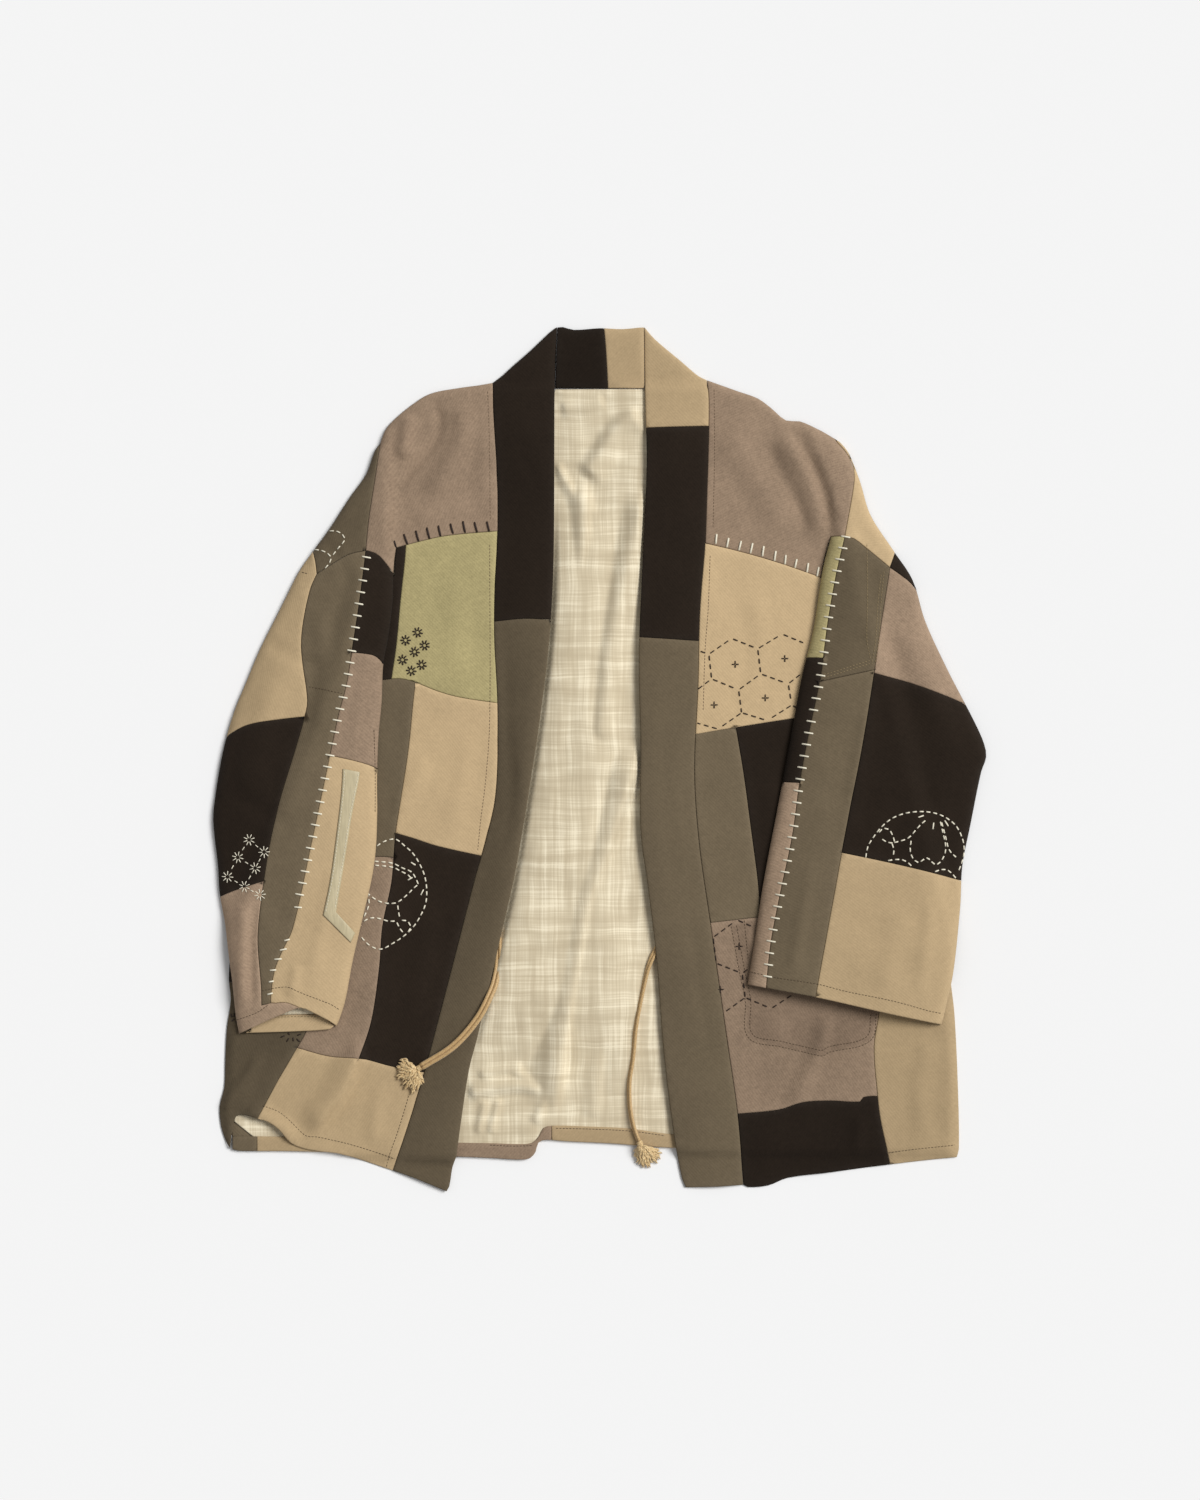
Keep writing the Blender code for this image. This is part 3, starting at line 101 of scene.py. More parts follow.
key_light = bpy.data.objects.new("key_light", bpy.data.lights.new("key_light", "SUN"))
key_light.data.energy = 2.9
key_light.data.angle = math.radians(30)
key_light.rotation_euler = Vector((-1.45, -0.75, -1.75)).to_track_quat("-Z", "Y").to_euler()
bpy.context.scene.collection.objects.link(key_light)
world = bpy.data.worlds.new("white_room")
world.use_nodes = True
world.node_tree.nodes["Background"].inputs["Color"].default_value = linear("#ffffff")
world.node_tree.nodes["Background"].inputs["Strength"].default_value = 0.33
bpy.context.scene.world = world
bpy.context.scene.view_settings.view_transform = "Standard"


# Ties. Each front closes with a tie of doubled rayon cord, two soft strands stitched side by side
# and sewn under the band's edge. It ends in a tassel of crinkled floss bound on with its own thread.

LEFT_TIE = [(496.5, 928, 5.2), (498.2, 945, 5.3), (498.4, 962, 5.8), (496.6, 975, 7.4), (494.2, 985, 9.8),
            (491, 993, 12.4), (487.3, 1001, 14.2), (481.6, 1012, 14.8), (474, 1023, 14.8), (465, 1034, 14.8),
            (455, 1044, 14.6), (444, 1052.3, 13.7), (433, 1059, 12.1), (421.5, 1066, 10.6)]
RIGHT_TIE = [(661, 941, 4.8), (656.5, 949, 4.8), (651.8, 958, 5.1), (647.3, 970.5, 5.5), (641, 998, 5.5),
             (635.7, 1027, 5.5), (632.6, 1059, 5.5), (629.4, 1080, 5.5), (629.4, 1101, 5.5), (631.6, 1118, 6.9),
             (635, 1131, 7.0), (639, 1140.5, 7.9)]
LEFT_FAN = [(143, 19), (163, 22), (178, 22.5), (202, 24), (225, 24), (252, 27), (265, 25), (276, 19), (296, 15)]
RIGHT_FAN = [(230, 11), (254, 16), (267, 21.5), (281, 24.5), (296, 26), (320, 26), (334, 24), (345, 19)]


def curve(points, step=7.0):
    """Points of a smooth curve through the given ones."""
    given = [np.array(p, dtype=float) for p in points]
    if len(given) == 2:
        pieces = max(1, math.ceil(np.linalg.norm(given[1] - given[0]) / step))
        return [tuple(given[0] + (given[1] - given[0]) * i / pieces) for i in range(pieces + 1)]
    padded = [2 * given[0] - given[1]] + given + [2 * given[-1] - given[-2]]
    result = [tuple(given[0])]
    for i in range(1, len(padded) - 2):
        before, start, end, after = padded[i - 1:i + 3]
        span = np.linalg.norm(end - start)
        turn_in = (end - before) / max(np.linalg.norm(end - before), 1e-9) * span
        turn_out = (after - start) / max(np.linalg.norm(after - start), 1e-9) * span
        pieces = max(1, math.ceil(span / step))
        for t in np.arange(1, pieces + 1) / pieces:
            result.append(tuple((2 * t ** 3 - 3 * t ** 2 + 1) * start + (t ** 3 - 2 * t ** 2 + t) * turn_in
                                + (3 * t ** 2 - 2 * t ** 3) * end + (t ** 3 - t ** 2) * turn_out))
    return result


def soft(value):
    """0 below 0, 1 above 1 and a soft rise between."""
    value = np.clip(value, 0, 1)
    return value * value * (3 - 2 * value)


def strand(corners, faces, centres, radii, sides=8):
    """Add one round strand with closed ends, through centres given in the frame's metres."""
    side, first = None, len(corners)
    for i, centre in enumerate(centres):
        ahead = (centres[min(i + 1, len(centres) - 1)] - centres[max(i - 1, 0)]).normalized()
        side = ahead.orthogonal() if side is None else side - ahead * side.dot(ahead)
        side.normalize()
        over = ahead.cross(side)
        for k in range(sides):
            turn = math.tau * k / sides
            corners.append(centre + (side * math.cos(turn) + over * math.sin(turn)) * radii[i])
    for ring in range(first, first + (len(centres) - 1) * sides, sides):
        for k in range(sides):
            after = (k + 1) % sides
            faces.append((ring + k, ring + after, ring + sides + after, ring + sides + k))
    faces.append(tuple(range(first, first + sides))[::-1])
    faces.append(tuple(range(len(corners) - sides, len(corners))))


def add_piece(name, corners, faces, material):
    """Link a smooth-shaded mesh that rides with the jacket."""
    mesh = bpy.data.meshes.new(name)
    mesh.from_pydata(corners, [], faces)
    mesh.shade_smooth()
    mesh.materials.append(material)
    piece = bpy.data.objects.new(name, mesh)
    bpy.context.scene.collection.objects.link(piece)
    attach(piece, "root")
    return piece


def rayon(name, colour, streak):
    """Spun rayon: silky, with paler filaments running along it and dull hollows between them."""
    # Filaments are 0.02 mm thick, so only bundles about a millimetre wide are drawn
    material = bpy.data.materials.new(name)
    material.use_nodes = True
    tree = material.node_tree
    shader = tree.nodes["Principled BSDF"]
    place = add_node(tree, "TexCoord")
    bundles = add_node(tree, "TexNoise", {"Scale": 900.0, "Detail": 3.0, "Roughness": 0.7}, {"Vector": (place, "Object")})
    tint = add_node(tree, "ValToRGB", (), {"Fac": (bundles, "Fac")})
    tint.color_ramp.elements[0].position, tint.color_ramp.elements[1].position = 0.36, 0.64
    tint.color_ramp.elements[0].color, tint.color_ramp.elements[1].color = linear(colour), linear(streak)
    tree.links.new(tint.outputs["Color"], shader.inputs["Base Color"])
    bump = add_node(tree, "Bump", {"Strength": 0.5, "Distance": 0.0003}, {"Height": (bundles, "Fac")})
    tree.links.new(bump.outputs[0], shader.inputs["Normal"])
    shader.inputs["Roughness"].default_value = 0.5
    shader.inputs["Sheen Weight"].default_value = 0.25
    return material


cord_rayon = rayon("spun_rayon_cord", "#a98754", "#cfae7c")
floss_rayon = rayon("crinkled_rayon_floss", "#b08b58", "#ead2a0")


def add_tie(name, points, radius, turned, tassel):
    """Doubled cord along a route: two strands that come out side by side and then turn by an angle."""
    route = curve(points, 4.0)
    path = [board(*point) for point in route]
    corners, faces = [], []
    for hand in (-1, 1):
        centres = []
        for i, centre in enumerate(path):
            ahead = (path[min(i + 1, len(path) - 1)] - path[max(i - 1, 0)]).normalized()
            across = Vector((-ahead.y, ahead.x, 0)).normalized()
            turn = math.radians(8 + (turned - 8) * float(soft(i / (len(path) - 1) / 0.2)))
            offset = (across * math.cos(turn) + Vector((0, 0, math.sin(turn)))) * (radius * 0.93 * hand)
            centres.append(centre + offset * 0.001 + Vector((0, 0, radius * math.sin(turn) * 0.0005)))
        strand(corners, faces, centres, [radius * 0.001] * len(centres))
    piece = add_piece(name, corners, faces, cord_rayon)
    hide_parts(name)
    return piece


def add_tassel(name, points, fan, locks, rest, seed):
    """Crinkled floss fanned out from the cord's end, with thread wound round its neck."""
    chance = random.Random(seed)
    before, last = (board(*point) for point in points[-2:])
    along = (last - before).normalized()
    side = Vector((-along.y, along.x, 0)).normalized()
    over = along.cross(side)
    corners, faces = [], []
    wound = [last + along * (0.0004 + 0.0034 * k / 60)
             + (side * math.cos(k * 0.52) + over * math.sin(k * 0.52)) * 0.0028 for k in range(61)]
    strand(corners, faces, wound, [0.0005] * 61, 5)
    strand(corners, faces, [last + along * d for d in (0.0003, 0.002, 0.0046, 0.006)],
           [0.0022, 0.0027, 0.0027, 0.0012], 10)
    heart = last + along * 0.0038
    for index in range(locks):
        layer = index % 3
        place = ((index * 0.618) % 1) * (len(fan) - 1)
        way = math.radians(np.interp(place, range(len(fan)), [w for w, _ in fan]) + chance.uniform(-3, 3))
        reach = np.interp(place, range(len(fan)), [r for _, r in fan]) * (1.0, 0.86, 0.66)[layer]
        reach *= chance.uniform(0.9, 1.0)
        run = Vector((math.cos(way), math.sin(way), 0))
        beside = Vector((-run.y, run.x, 0))
        wave, phase = chance.uniform(0.4, 0.8), chance.uniform(0, math.tau)
        tip = rest + 0.9 + layer * 1.1 + chance.uniform(-0.2, 0.4)
        centres, radii = [], []
        for k in range(15):
            s = k / 14
            crinkle = math.sin(phase + s * reach / 6.5 * math.tau) * wave * min(1, s * 3)
            height = heart.z * 1000 * (1 - s) + tip * s + (0.8 + 0.8 * layer) * math.sin(s * math.pi)
            spot = heart + run * (reach * s * 0.001) + beside * (crinkle * 0.001)
            centres.append(Vector((spot.x, spot.y, (height + 0.3 * math.cos(phase + s * 9)) * 0.001)))
            radii.append(0.00115 * (0.45 + 0.55 * min(1, s * 4)) * math.sqrt(max(0.12, 1 - max(0, s * 6 - 5) ** 2)))
        strand(corners, faces, centres, radii, 4)
    piece = add_piece(name, corners, faces, floss_rayon)
    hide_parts(name)
    return piece


add_tie("left_tie", LEFT_TIE, 2.0, 8, add_tassel("left_tassel", LEFT_TIE, LEFT_FAN, 84, 7.4, 11))
add_tie("right_tie", RIGHT_TIE, 1.55, 60, add_tassel("right_tassel", RIGHT_TIE, RIGHT_FAN, 84, 1.0, 4))


# Outer cloth of the back: four lengths of brushed cotton twill sewn side by side, which the jacket
# lies on. Only their turned-up hem shows from above. Other cloth is cut, laid and sewn with the same
# functions, made here.

SEAM_GAP = 0.3                     # between two patches that are sewn together
FLOOR_GAP = 0.3
BACK_CLOTH, LINING_CLOTH, HEM_CLOTH, OUTER_CLOTH, BAND_CLOTH, TAPE_CLOTH = 1.5, 1.0, 1.1, 2.0, 2.6, 1.0
LINING_TOP = BACK_CLOTH + SEAM_GAP + LINING_CLOTH
HEM_TOP = LINING_TOP + SEAM_GAP + HEM_CLOTH
FRONT_REST = HEM_TOP + 0.4
BACK_INSET = 8.0                   # the back ends this far inside the outline that shows
DARK, OLIVE, MAUVE, BEIGE, GREEN = "#261e17", "#6e614d", "#97816c", "#b8a07c", "#a89c70"
MOTTLE = {DARK: 0.3, OLIVE: 0.22, MAUVE: 0.34, BEIGE: 0.15, GREEN: 0.28}
BACK_NECK = [(645, 391), (600, 390.5), (556, 391)]
BACK_LEFT = [(556, 391), (497, 392.6), (465, 397), (434, 403), (415, 414.5), (399, 430), (390, 447), (384, 475),
             (379, 520), (378, 590), (370, 615), (360, 650), (343, 706), (308, 796), (270, 885),
             (246, 938), (238, 966), (238.5, 998), (235, 1030), (233.3, 1060), (232.2, 1090),
             (228.6, 1106), (229.4, 1122), (232.4, 1137), (232.6, 1149)]
BACK_HEM = [(232.6, 1149), (240, 1150.6), (285, 1150.8), (370, 1153), (456.8, 1156.3), (492.6, 1157.8),
            (520, 1159.4), (530, 1158), (535.8, 1151.5), (538.6, 1142.4), (546, 1139.6), (566, 1141),
            (608, 1143), (675.7, 1147.7), (760, 1149), (860, 1150), (948, 1150)]
BACK_RIGHT = [(948, 1150), (949.5, 1090), (946, 1015), (942, 982), (936, 950), (921, 886), (898, 800),
              (875, 706), (857, 640), (846, 590), (846, 530), (845, 490), (838, 462), (826, 444),
              (805, 432), (790, 430), (775, 420), (757, 407.5), (738, 400.5), (712, 391.5), (645, 391)]


def joined(curves):
    """One closed outline from curves that follow each other, each turned to fit the one before."""
    outline = []
    for each in curves:
        points = curve(each)
        if outline and math.dist(outline[-1], points[-1]) < math.dist(outline[-1], points[0]):
            points = points[::-1]
        elif not outline:
            ends = (curves[1][0], curves[1][-1])
            if min(math.dist(points[0], e) for e in ends) < min(math.dist(points[-1], e) for e in ends):
                points = points[::-1]
        outline.extend(points if not outline else points[1:])
    if math.dist(outline[0], outline[-1]) < 0.5:
        outline.pop()
    return outline


def nearest(route, x, y):
    """For each point: distance to a route, side of it (left is positive) and share of its length."""
    route = np.asarray(route, dtype=float)
    starts, runs = route[:-1], route[1:] - route[:-1]
    lengths = np.maximum(np.linalg.norm(runs, axis=1), 1e-9)
    off_x = np.asarray(x)[:, None] - starts[:, 0]
    off_y = np.asarray(y)[:, None] - starts[:, 1]
    along = np.clip((off_x * runs[:, 0] + off_y * runs[:, 1]) / lengths ** 2, 0, 1)
    gaps = np.hypot(off_x - along * runs[:, 0], off_y - along * runs[:, 1])
    best = gaps.argmin(axis=1)
    rows = np.arange(len(best))
    side = np.sign(off_x * runs[:, 1] - off_y * runs[:, 0])[rows, best]
    travelled = np.concatenate(([0], np.cumsum(lengths)))
    return gaps[rows, best], side, (travelled[best] + along[rows, best] * lengths[best]) / travelled[-1]


def gap_to(route, x, y):
    """Distance from each point to a route."""
    return nearest(route, x, y)[0]


def inside_by(outline, x, y):
    """Distance to a closed outline, positive inside it and negative outside."""
    ring = np.asarray(list(outline) + [outline[0]], dtype=float)
    crossings = np.zeros(len(x), dtype=int)
    for (x0, y0), (x1, y1) in zip(ring[:-1], ring[1:]):
        if y0 != y1:
            spans = (y >= min(y0, y1)) & (y < max(y0, y1))
            crossings += spans & (x < x0 + (y - y0) * (x1 - x0) / (y1 - y0))
    gap = gap_to(ring, x, y)
    return np.where(crossings % 2 == 1, gap, -gap)


def rolled(distance, radius):
    """Share of the full height at a distance in from an edge that rolls down."""
    return np.sqrt(1 - (1 - np.clip(distance / radius, 0, 1)) ** 2)


def folds(x, y, routes, ends=0.22):
    """Height of soft folds: a rounded ridge along each route, or a dent where its height is negative."""
    ridges, dents = np.zeros(len(x)), np.zeros(len(x))
    for route, height, left, right in routes:
        gap, side, place = nearest(curve(route, 9), x, y)
        across = np.cos(np.clip(gap / np.where(side > 0, left, right), 0, 1) * math.pi / 2) ** 2
        ridge = height * across * np.minimum(soft(place / ends), soft((1 - place) / ends))
        ridges, dents = np.maximum(ridges, ridge), np.minimum(dents, ridge)
    return ridges + dents


def ripple(x, y, size, height, seed):
    """Slight unevenness that cloth keeps when it is laid down."""
    return height * np.array([noise.noise((px / size, py / size, seed)) for px, py in zip(x, y)])


def grid(low, high, step):
    """Staggered rows of points that fill a rectangle."""
    rows, columns = int((high[1] - low[1]) / (step * 0.87)) + 1, int((high[0] - low[0]) / step) + 2
    row, column = np.meshgrid(np.arange(rows), np.arange(columns), indexing="ij")
    x = low[0] + (column + (row % 2) / 2) * step
    y = low[1] + (row + 0.5) * step * 0.87
    return x.ravel(), y.ravel()


class Panel:
    """A panel of cloth triangulated along its seams, from which patches are cut."""

    def __init__(self, outline, seams=(), step=5.0, fine=None):
        lines = [list(outline) + [outline[0]]] + [curve(seam) for seam in seams]
        x, y = grid(np.min(outline, axis=0), np.max(outline, axis=0), step)
        if fine:
            low, high, fine_step = fine
            outside = (x < low[0]) | (x > high[0]) | (y < low[1]) | (y > high[1])
            more_x, more_y = grid(low, high, fine_step)
            x, y = np.concatenate((x[outside], more_x)), np.concatenate((y[outside], more_y))
        room = np.min([gap_to(line, x, y) for line in lines], axis=0)
        clear = (inside_by(outline, x, y) > 0) & (room > min(3.0, step * 0.6))
        points, edges = [], []
        for line in lines:
            edges.extend((len(points) + i, len(points) + i + 1) for i in range(len(line) - 1))
            points.extend(line)
        points.extend(zip(x[clear], y[clear]))
        flat = [Vector((px, -py)) for px, py in points]
        spots, mesh_edges, faces, _, sources, _ = delaunay_2d_cdt(flat, edges, [], 0, 0.01)
        self.spots = np.array([(p[0], -p[1]) for p in spots])
        self.faces = np.array([list(f) for f in faces])
        self.cuts = {tuple(sorted(edge)) for edge, source in zip(mesh_edges, sources) if source}

    def patch(self, seeds):
        """Triangles that can be reached from the seed points without crossing a seam."""
        neighbours = {}
        for index, face in enumerate(self.faces):
            for k in range(3):
                neighbours.setdefault(tuple(sorted((face[k], face[k - 1]))), []).append(index)
        a, b, c = (self.spots[self.faces[:, k]] for k in range(3))
        found = set()
        for seed in seeds:
            p = np.array(seed, dtype=float)
            turns = [(q[:, 0] - r[:, 0]) * (p[1] - r[:, 1]) - (q[:, 1] - r[:, 1]) * (p[0] - r[:, 0])
                     for q, r in ((b, a), (c, b), (a, c))]
            waiting = [int(np.argmax(np.max(turns, axis=0) <= 0))]
            while waiting:
                index = waiting.pop()
                if index in found:
                    continue
                found.add(index)
                face = self.faces[index]
                for k in range(3):
                    edge = tuple(sorted((face[k], face[k - 1])))
                    if edge not in self.cuts:
                        waiting.extend(neighbours[edge])
        return self.faces[sorted(found)]


def lay(name, panel, seeds, top, thickness, material, lift=0.0, rim=0.45, mark=None):
    """Cut one piece of cloth from a panel and lay it down: a closed wall with softly turned edges."""
    faces = panel.patch(seeds)
    used = np.unique(faces)
    place = {int(v): i for i, v in enumerate(used)}
    spots = panel.spots[used]
    faces = [tuple(place[int(v)] for v in face) for face in faces]
    directed = {(f[k], f[(k + 1) % 3]) for f in faces for k in range(3)}
    border = sorted(e for e in directed if (e[1], e[0]) not in directed)
    inward = {}
    for a, b in border:
        run = spots[b] - spots[a]
        normal = np.array([run[1], -run[0]]) / max(np.linalg.norm(run), 1e-9)
        inward.setdefault(a, []).append(normal)
        inward.setdefault(b, []).append(normal)
    edge_spots = spots.copy()
    ring = sorted(inward)
    for v in ring:
        total = np.sum(inward[v], axis=0)
        share = total / max(1 + float(np.dot(inward[v][0], inward[v][-1])), 0.5)
        edge_spots[v] = spots[v] + share * SEAM_GAP / 2
        spots[v] = spots[v] + share * (SEAM_GAP / 2 + 1.1)
    heights = top(spots[:, 0], spots[:, 1]) + lift
    rim_heights = top(edge_spots[ring, 0], edge_spots[ring, 1]) + lift
    count, rim_count = len(spots), len(ring)
    rim_of = {v: count + i for i, v in enumerate(ring)}
    corners = [board(x, y, z) for (x, y), z in zip(spots, heights)]
    corners += [board(*edge_spots[v], z - rim) for v, z in zip(ring, rim_heights)]
    corners += [board(x, y, z - thickness) for (x, y), z in zip(spots, heights)]
    corners += [board(*edge_spots[v], z - thickness + 0.2) for v, z in zip(ring, rim_heights)]
    below = count + rim_count
    shell = [face for face in faces]
    shell += [(c + below, b + below, a + below) for a, b, c in faces]
    for a, b in border:
        shell.append((rim_of[a], rim_of[b], b, a))
        shell.append((rim_of[a] + below, a + below, b + below, rim_of[b] + below))
        shell.append((rim_of[a] + below, rim_of[b] + below, rim_of[b], rim_of[a]))
    mesh = bpy.data.meshes.new(name)
    mesh.from_pydata(corners, [], shell)
    bm = bmesh.new()
    bm.from_mesh(mesh)
    bmesh.ops.recalc_face_normals(bm, faces=bm.faces)
    bm.to_mesh(mesh)
    bm.free()
    mesh.shade_smooth()
    near = np.full(below, 0.0)
    pairs = np.array([(edge_spots[a], edge_spots[b]) for a, b in border])
    for start in range(0, len(pairs), 60):
        for p, q in pairs[start:start + 60]:
            near[:count] = np.maximum(near[:count], np.exp(-gap_to([p, q], spots[:, 0], spots[:, 1]) / 3.5))
    near[count:] = 1.0
    rub = mesh.attributes.new("rub", "FLOAT", "POINT")
    rub.data.foreach_set("value", np.tile(near, 2))
    if mark:
        marked = mark(*np.vstack((spots, edge_spots[ring])).T)
        mesh.attributes.new("mark", "FLOAT", "POINT").data.foreach_set("value", np.tile(marked, 2))
    mesh.materials.append(material)
    piece = bpy.data.objects.new(name, mesh)
    bpy.context.scene.collection.objects.link(piece)
    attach(piece, "root")
    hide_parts(name)
    solid = np.column_stack((edge_spots, heights))
    solid[ring, 2] = rim_heights
    return piece


def brushed_twill(name, colour, grain=0, tone=1.0):
    """Cotton twill, piece-dyed and brushed: matt, with a faint nap, cloudy dye and rubbed seams."""
    # Ribs of real twill are 0.5 mm apart; they are drawn at 1.8 mm so that they just show
    material = bpy.data.materials.new(name)
    material.use_nodes = True
    tree = material.node_tree
    shader = tree.nodes["Principled BSDF"]
    light, base = linear(colour), [c * tone for c in linear(colour)[:3]]
    place = add_node(tree, "TexCoord")
    board_mm = add_node(tree, "Mapping", {"Scale": (1000, 1000, 1000), "Rotation": (0, 0, math.radians(grain))},
                        {"Vector": (place, "Object")})
    clouds = add_node(tree, "TexNoise", {"Scale": 1 / 60, "Detail": 3.0, "Roughness": 0.6}, {"Vector": (board_mm, 0)})
    flecks = add_node(tree, "TexNoise", {"Scale": 1 / 4, "Detail": 4.0, "Roughness": 0.75}, {"Vector": (board_mm, 0)})
    nap = add_node(tree, "TexNoise", {"Scale": 1 / 1.3, "Detail": 2.0}, {"Vector": (board_mm, 0)})
    ribs = add_node(tree, "TexWave", {"bands_direction": "DIAGONAL", "Scale": 0.175, "Distortion": 1.2,
                                      "Detail": 1.0, "Detail Scale": 0.3}, {"Vector": (board_mm, 0)})
    wide = add_node(tree, "Math", {"operation": "MULTIPLY_ADD", 1: 0.4, 2: -0.12}, {0: (clouds, "Fac")})
    middle = add_node(tree, "Math", {"operation": "MULTIPLY_ADD", 1: 0.6}, {0: (flecks, "Fac"), 2: (wide, 0)})
    fine = add_node(tree, "Math", {"operation": "MULTIPLY_ADD", 1: 0.35}, {0: (nap, "Fac"), 2: (middle, 0)})
    all_over = add_node(tree, "Math", {"operation": "MULTIPLY_ADD", 1: 0.08}, {0: (ribs, "Fac"), 2: (fine, 0)})
    tint = add_node(tree, "ValToRGB", (), {"Fac": (all_over, 0)})
    ramp = tint.color_ramp
    ramp.elements[0].position, ramp.elements[1].position = 0.30, 0.85
    ramp.elements[0].color = [c * (1 - MOTTLE[colour]) for c in base] + [1]
    ramp.elements[1].color = [c * (1 + MOTTLE[colour]) for c in base] + [1]
    rub = add_node(tree, "Attribute", {"attribute_name": "rub"})
    worn = add_node(tree, "Math", {"operation": "MULTIPLY", 1: 0.34}, {0: (rub, "Fac")})
    patchy = add_node(tree, "Math", {"operation": "MULTIPLY", "use_clamp": True}, {0: (worn, 0), 1: (flecks, "Fac")})
    colour_mix = add_node(tree, "Mix", {"data_type": "RGBA", 7: [min(1, c * 1.5 + 0.02) for c in base] + [1]},
                          {0: (patchy, 0), 6: (tint, "Color")})
    mark = add_node(tree, "Attribute", {"attribute_name": "mark"})
    marked = add_node(tree, "Mix", {"data_type": "RGBA", "blend_type": "MULTIPLY", 7: (0.72, 0.71, 0.72, 1)},
                      {0: (mark, "Fac"), 6: (colour_mix, 2)})
    tree.links.new(marked.outputs[2], shader.inputs["Base Color"])
    relief = add_node(tree, "Math", {"operation": "MULTIPLY_ADD", 1: 0.5}, {0: (ribs, "Fac"), 2: (nap, "Fac")})
    bump = add_node(tree, "Bump", {"Strength": 0.35, "Distance": 0.0003}, {"Height": (relief, 0)})
    tree.links.new(bump.outputs[0], shader.inputs["Normal"])
    shader.inputs["Roughness"].default_value = 0.92
    shader.inputs["Specular IOR Level"].default_value = 0.1
    shader.inputs["Sheen Weight"].default_value = 0.05
    shader.inputs["Sheen Roughness"].default_value = 0.5
    shader.inputs["Sheen Tint"].default_value = [min(1, 0.5 + 0.5 * c) for c in light[:3]] + [1]
    return material


def thread(name, colour):
    """Cotton thread of two plies: smooth, with a low sheen and a little lighter and darker along it."""
    material = bpy.data.materials.new(name)
    material.use_nodes = True
    tree = material.node_tree
    shader = tree.nodes["Principled BSDF"]
    place = add_node(tree, "TexCoord")
    plies = add_node(tree, "TexNoise", {"Scale": 700.0, "Detail": 2.0}, {"Vector": (place, "Object")})
    tint = add_node(tree, "ValToRGB", (), {"Fac": (plies, "Fac")})
    tint.color_ramp.elements[0].position, tint.color_ramp.elements[1].position = 0.35, 0.65
    tint.color_ramp.elements[0].color = [c * 0.8 for c in linear(colour)[:3]] + [1]
    tint.color_ramp.elements[1].color = linear(colour)
    tree.links.new(tint.outputs["Color"], shader.inputs["Base Color"])
    shader.inputs["Roughness"].default_value = 0.6
    shader.inputs["Specular IOR Level"].default_value = 0.3
    return material


cream_thread = thread("cream_sashiko_cotton", "#efe8d2")
brown_thread = thread("dark_brown_sashiko_cotton", "#2e211b")
tan_thread = thread("tan_machine_thread", "#9b8865")
umber_thread = thread("umber_machine_thread", "#5a4a39")
faded_thread = thread("faded_brown_machine_thread", "#86715c")


def dashes(line, length, gap, start=0.0):
    """Running stitches along a line: the two ends of each."""
    route = np.array(curve(line, 2))
    travelled = np.concatenate(([0], np.cumsum(np.linalg.norm(np.diff(route, axis=0), axis=1))))
    places = np.arange(start, travelled[-1] - length * 0.6, length + gap)
    return [[tuple(np.interp(s, travelled, route[:, k]) for k in (0, 1)) for s in (a, min(a + length, travelled[-1]))]
            for a in places]


def straight(lines, length, gap, start=0.0):
    """Running stitches along straight lines, begun anew at every corner."""
    return [stitch for line in lines for pair in zip(line[:-1], line[1:]) for stitch in dashes(pair, length, gap, start)]


def crossing(line, pitch, length, slant, start=0.0):
    """Stitches set across a line at a pitch, all at one slant in degrees."""
    half = np.array([math.cos(math.radians(slant)), math.sin(math.radians(slant))]) * length / 2
    return [[tuple(np.array(a) - half), tuple(np.array(a) + half)] for a, _ in dashes(line, 0.1, pitch - 0.1, start)]


def flower(x, y, inner, outer, petals, turn=0.0):
    """Stitches that point outwards round a centre."""
    ways = [math.radians(turn) + math.tau * k / petals for k in range(petals)]
    return [[(x + r * math.cos(w), y + r * math.sin(w)) for r in (inner, outer)] for w in ways]


def sew(name, stitches, top, width, material, sides=5, lift=0.0):
    """Lay stitches on the cloth: short rounded bars whose two ends dive into it."""
    ends = np.array(stitches, dtype=float)
    runs = ends[:, 1] - ends[:, 0]
    ways = runs / np.maximum(np.linalg.norm(runs, axis=1), 1e-9)[:, None]
    corners = []
    for share, rise in ((0, -0.5), (0.12, 0.25), (0.5, 0.42), (0.88, 0.25), (1, -0.5)):
        spots = ends[:, 0] + runs * share
        height = top(spots[:, 0], spots[:, 1]) + lift + rise * width
        for k in range(sides):
            turn = math.tau * k / sides
            across = math.cos(turn) * width / 2
            corners.append(np.column_stack((spots[:, 0] + ways[:, 1] * across, spots[:, 1] - ways[:, 0] * across,
                                            height + math.sin(turn) * width * 0.4)))
    corners = np.array(corners).transpose(1, 0, 2).reshape(-1, 3)
    faces = []
    for first in range(0, len(corners), 5 * sides):
        for ring in range(first, first + 4 * sides, sides):
            faces += [(ring + k, ring + (k + 1) % sides, ring + sides + (k + 1) % sides, ring + sides + k)
                      for k in range(sides)]
        faces.append(tuple(range(first, first + sides))[::-1])
        faces.append(tuple(range(first + 4 * sides, first + 5 * sides)))
    return add_piece(name, [board(*corner) for corner in corners], faces, material)


def machine(name, lines, top, material, lift=0.0):
    """Machine stitching along lines, 3.3 mm from stitch to stitch."""
    return sew(name, [stitch for line in lines for stitch in dashes(line, 2.4, 0.9)], top, 0.6, material, 4, lift)


BACK_OUTLINE = joined([BACK_NECK, BACK_LEFT, BACK_HEM, BACK_RIGHT])


def level(height):
    """Height function of a layer that lies flat."""
    def at(x, y):
        return np.full(len(x), height)
    return at


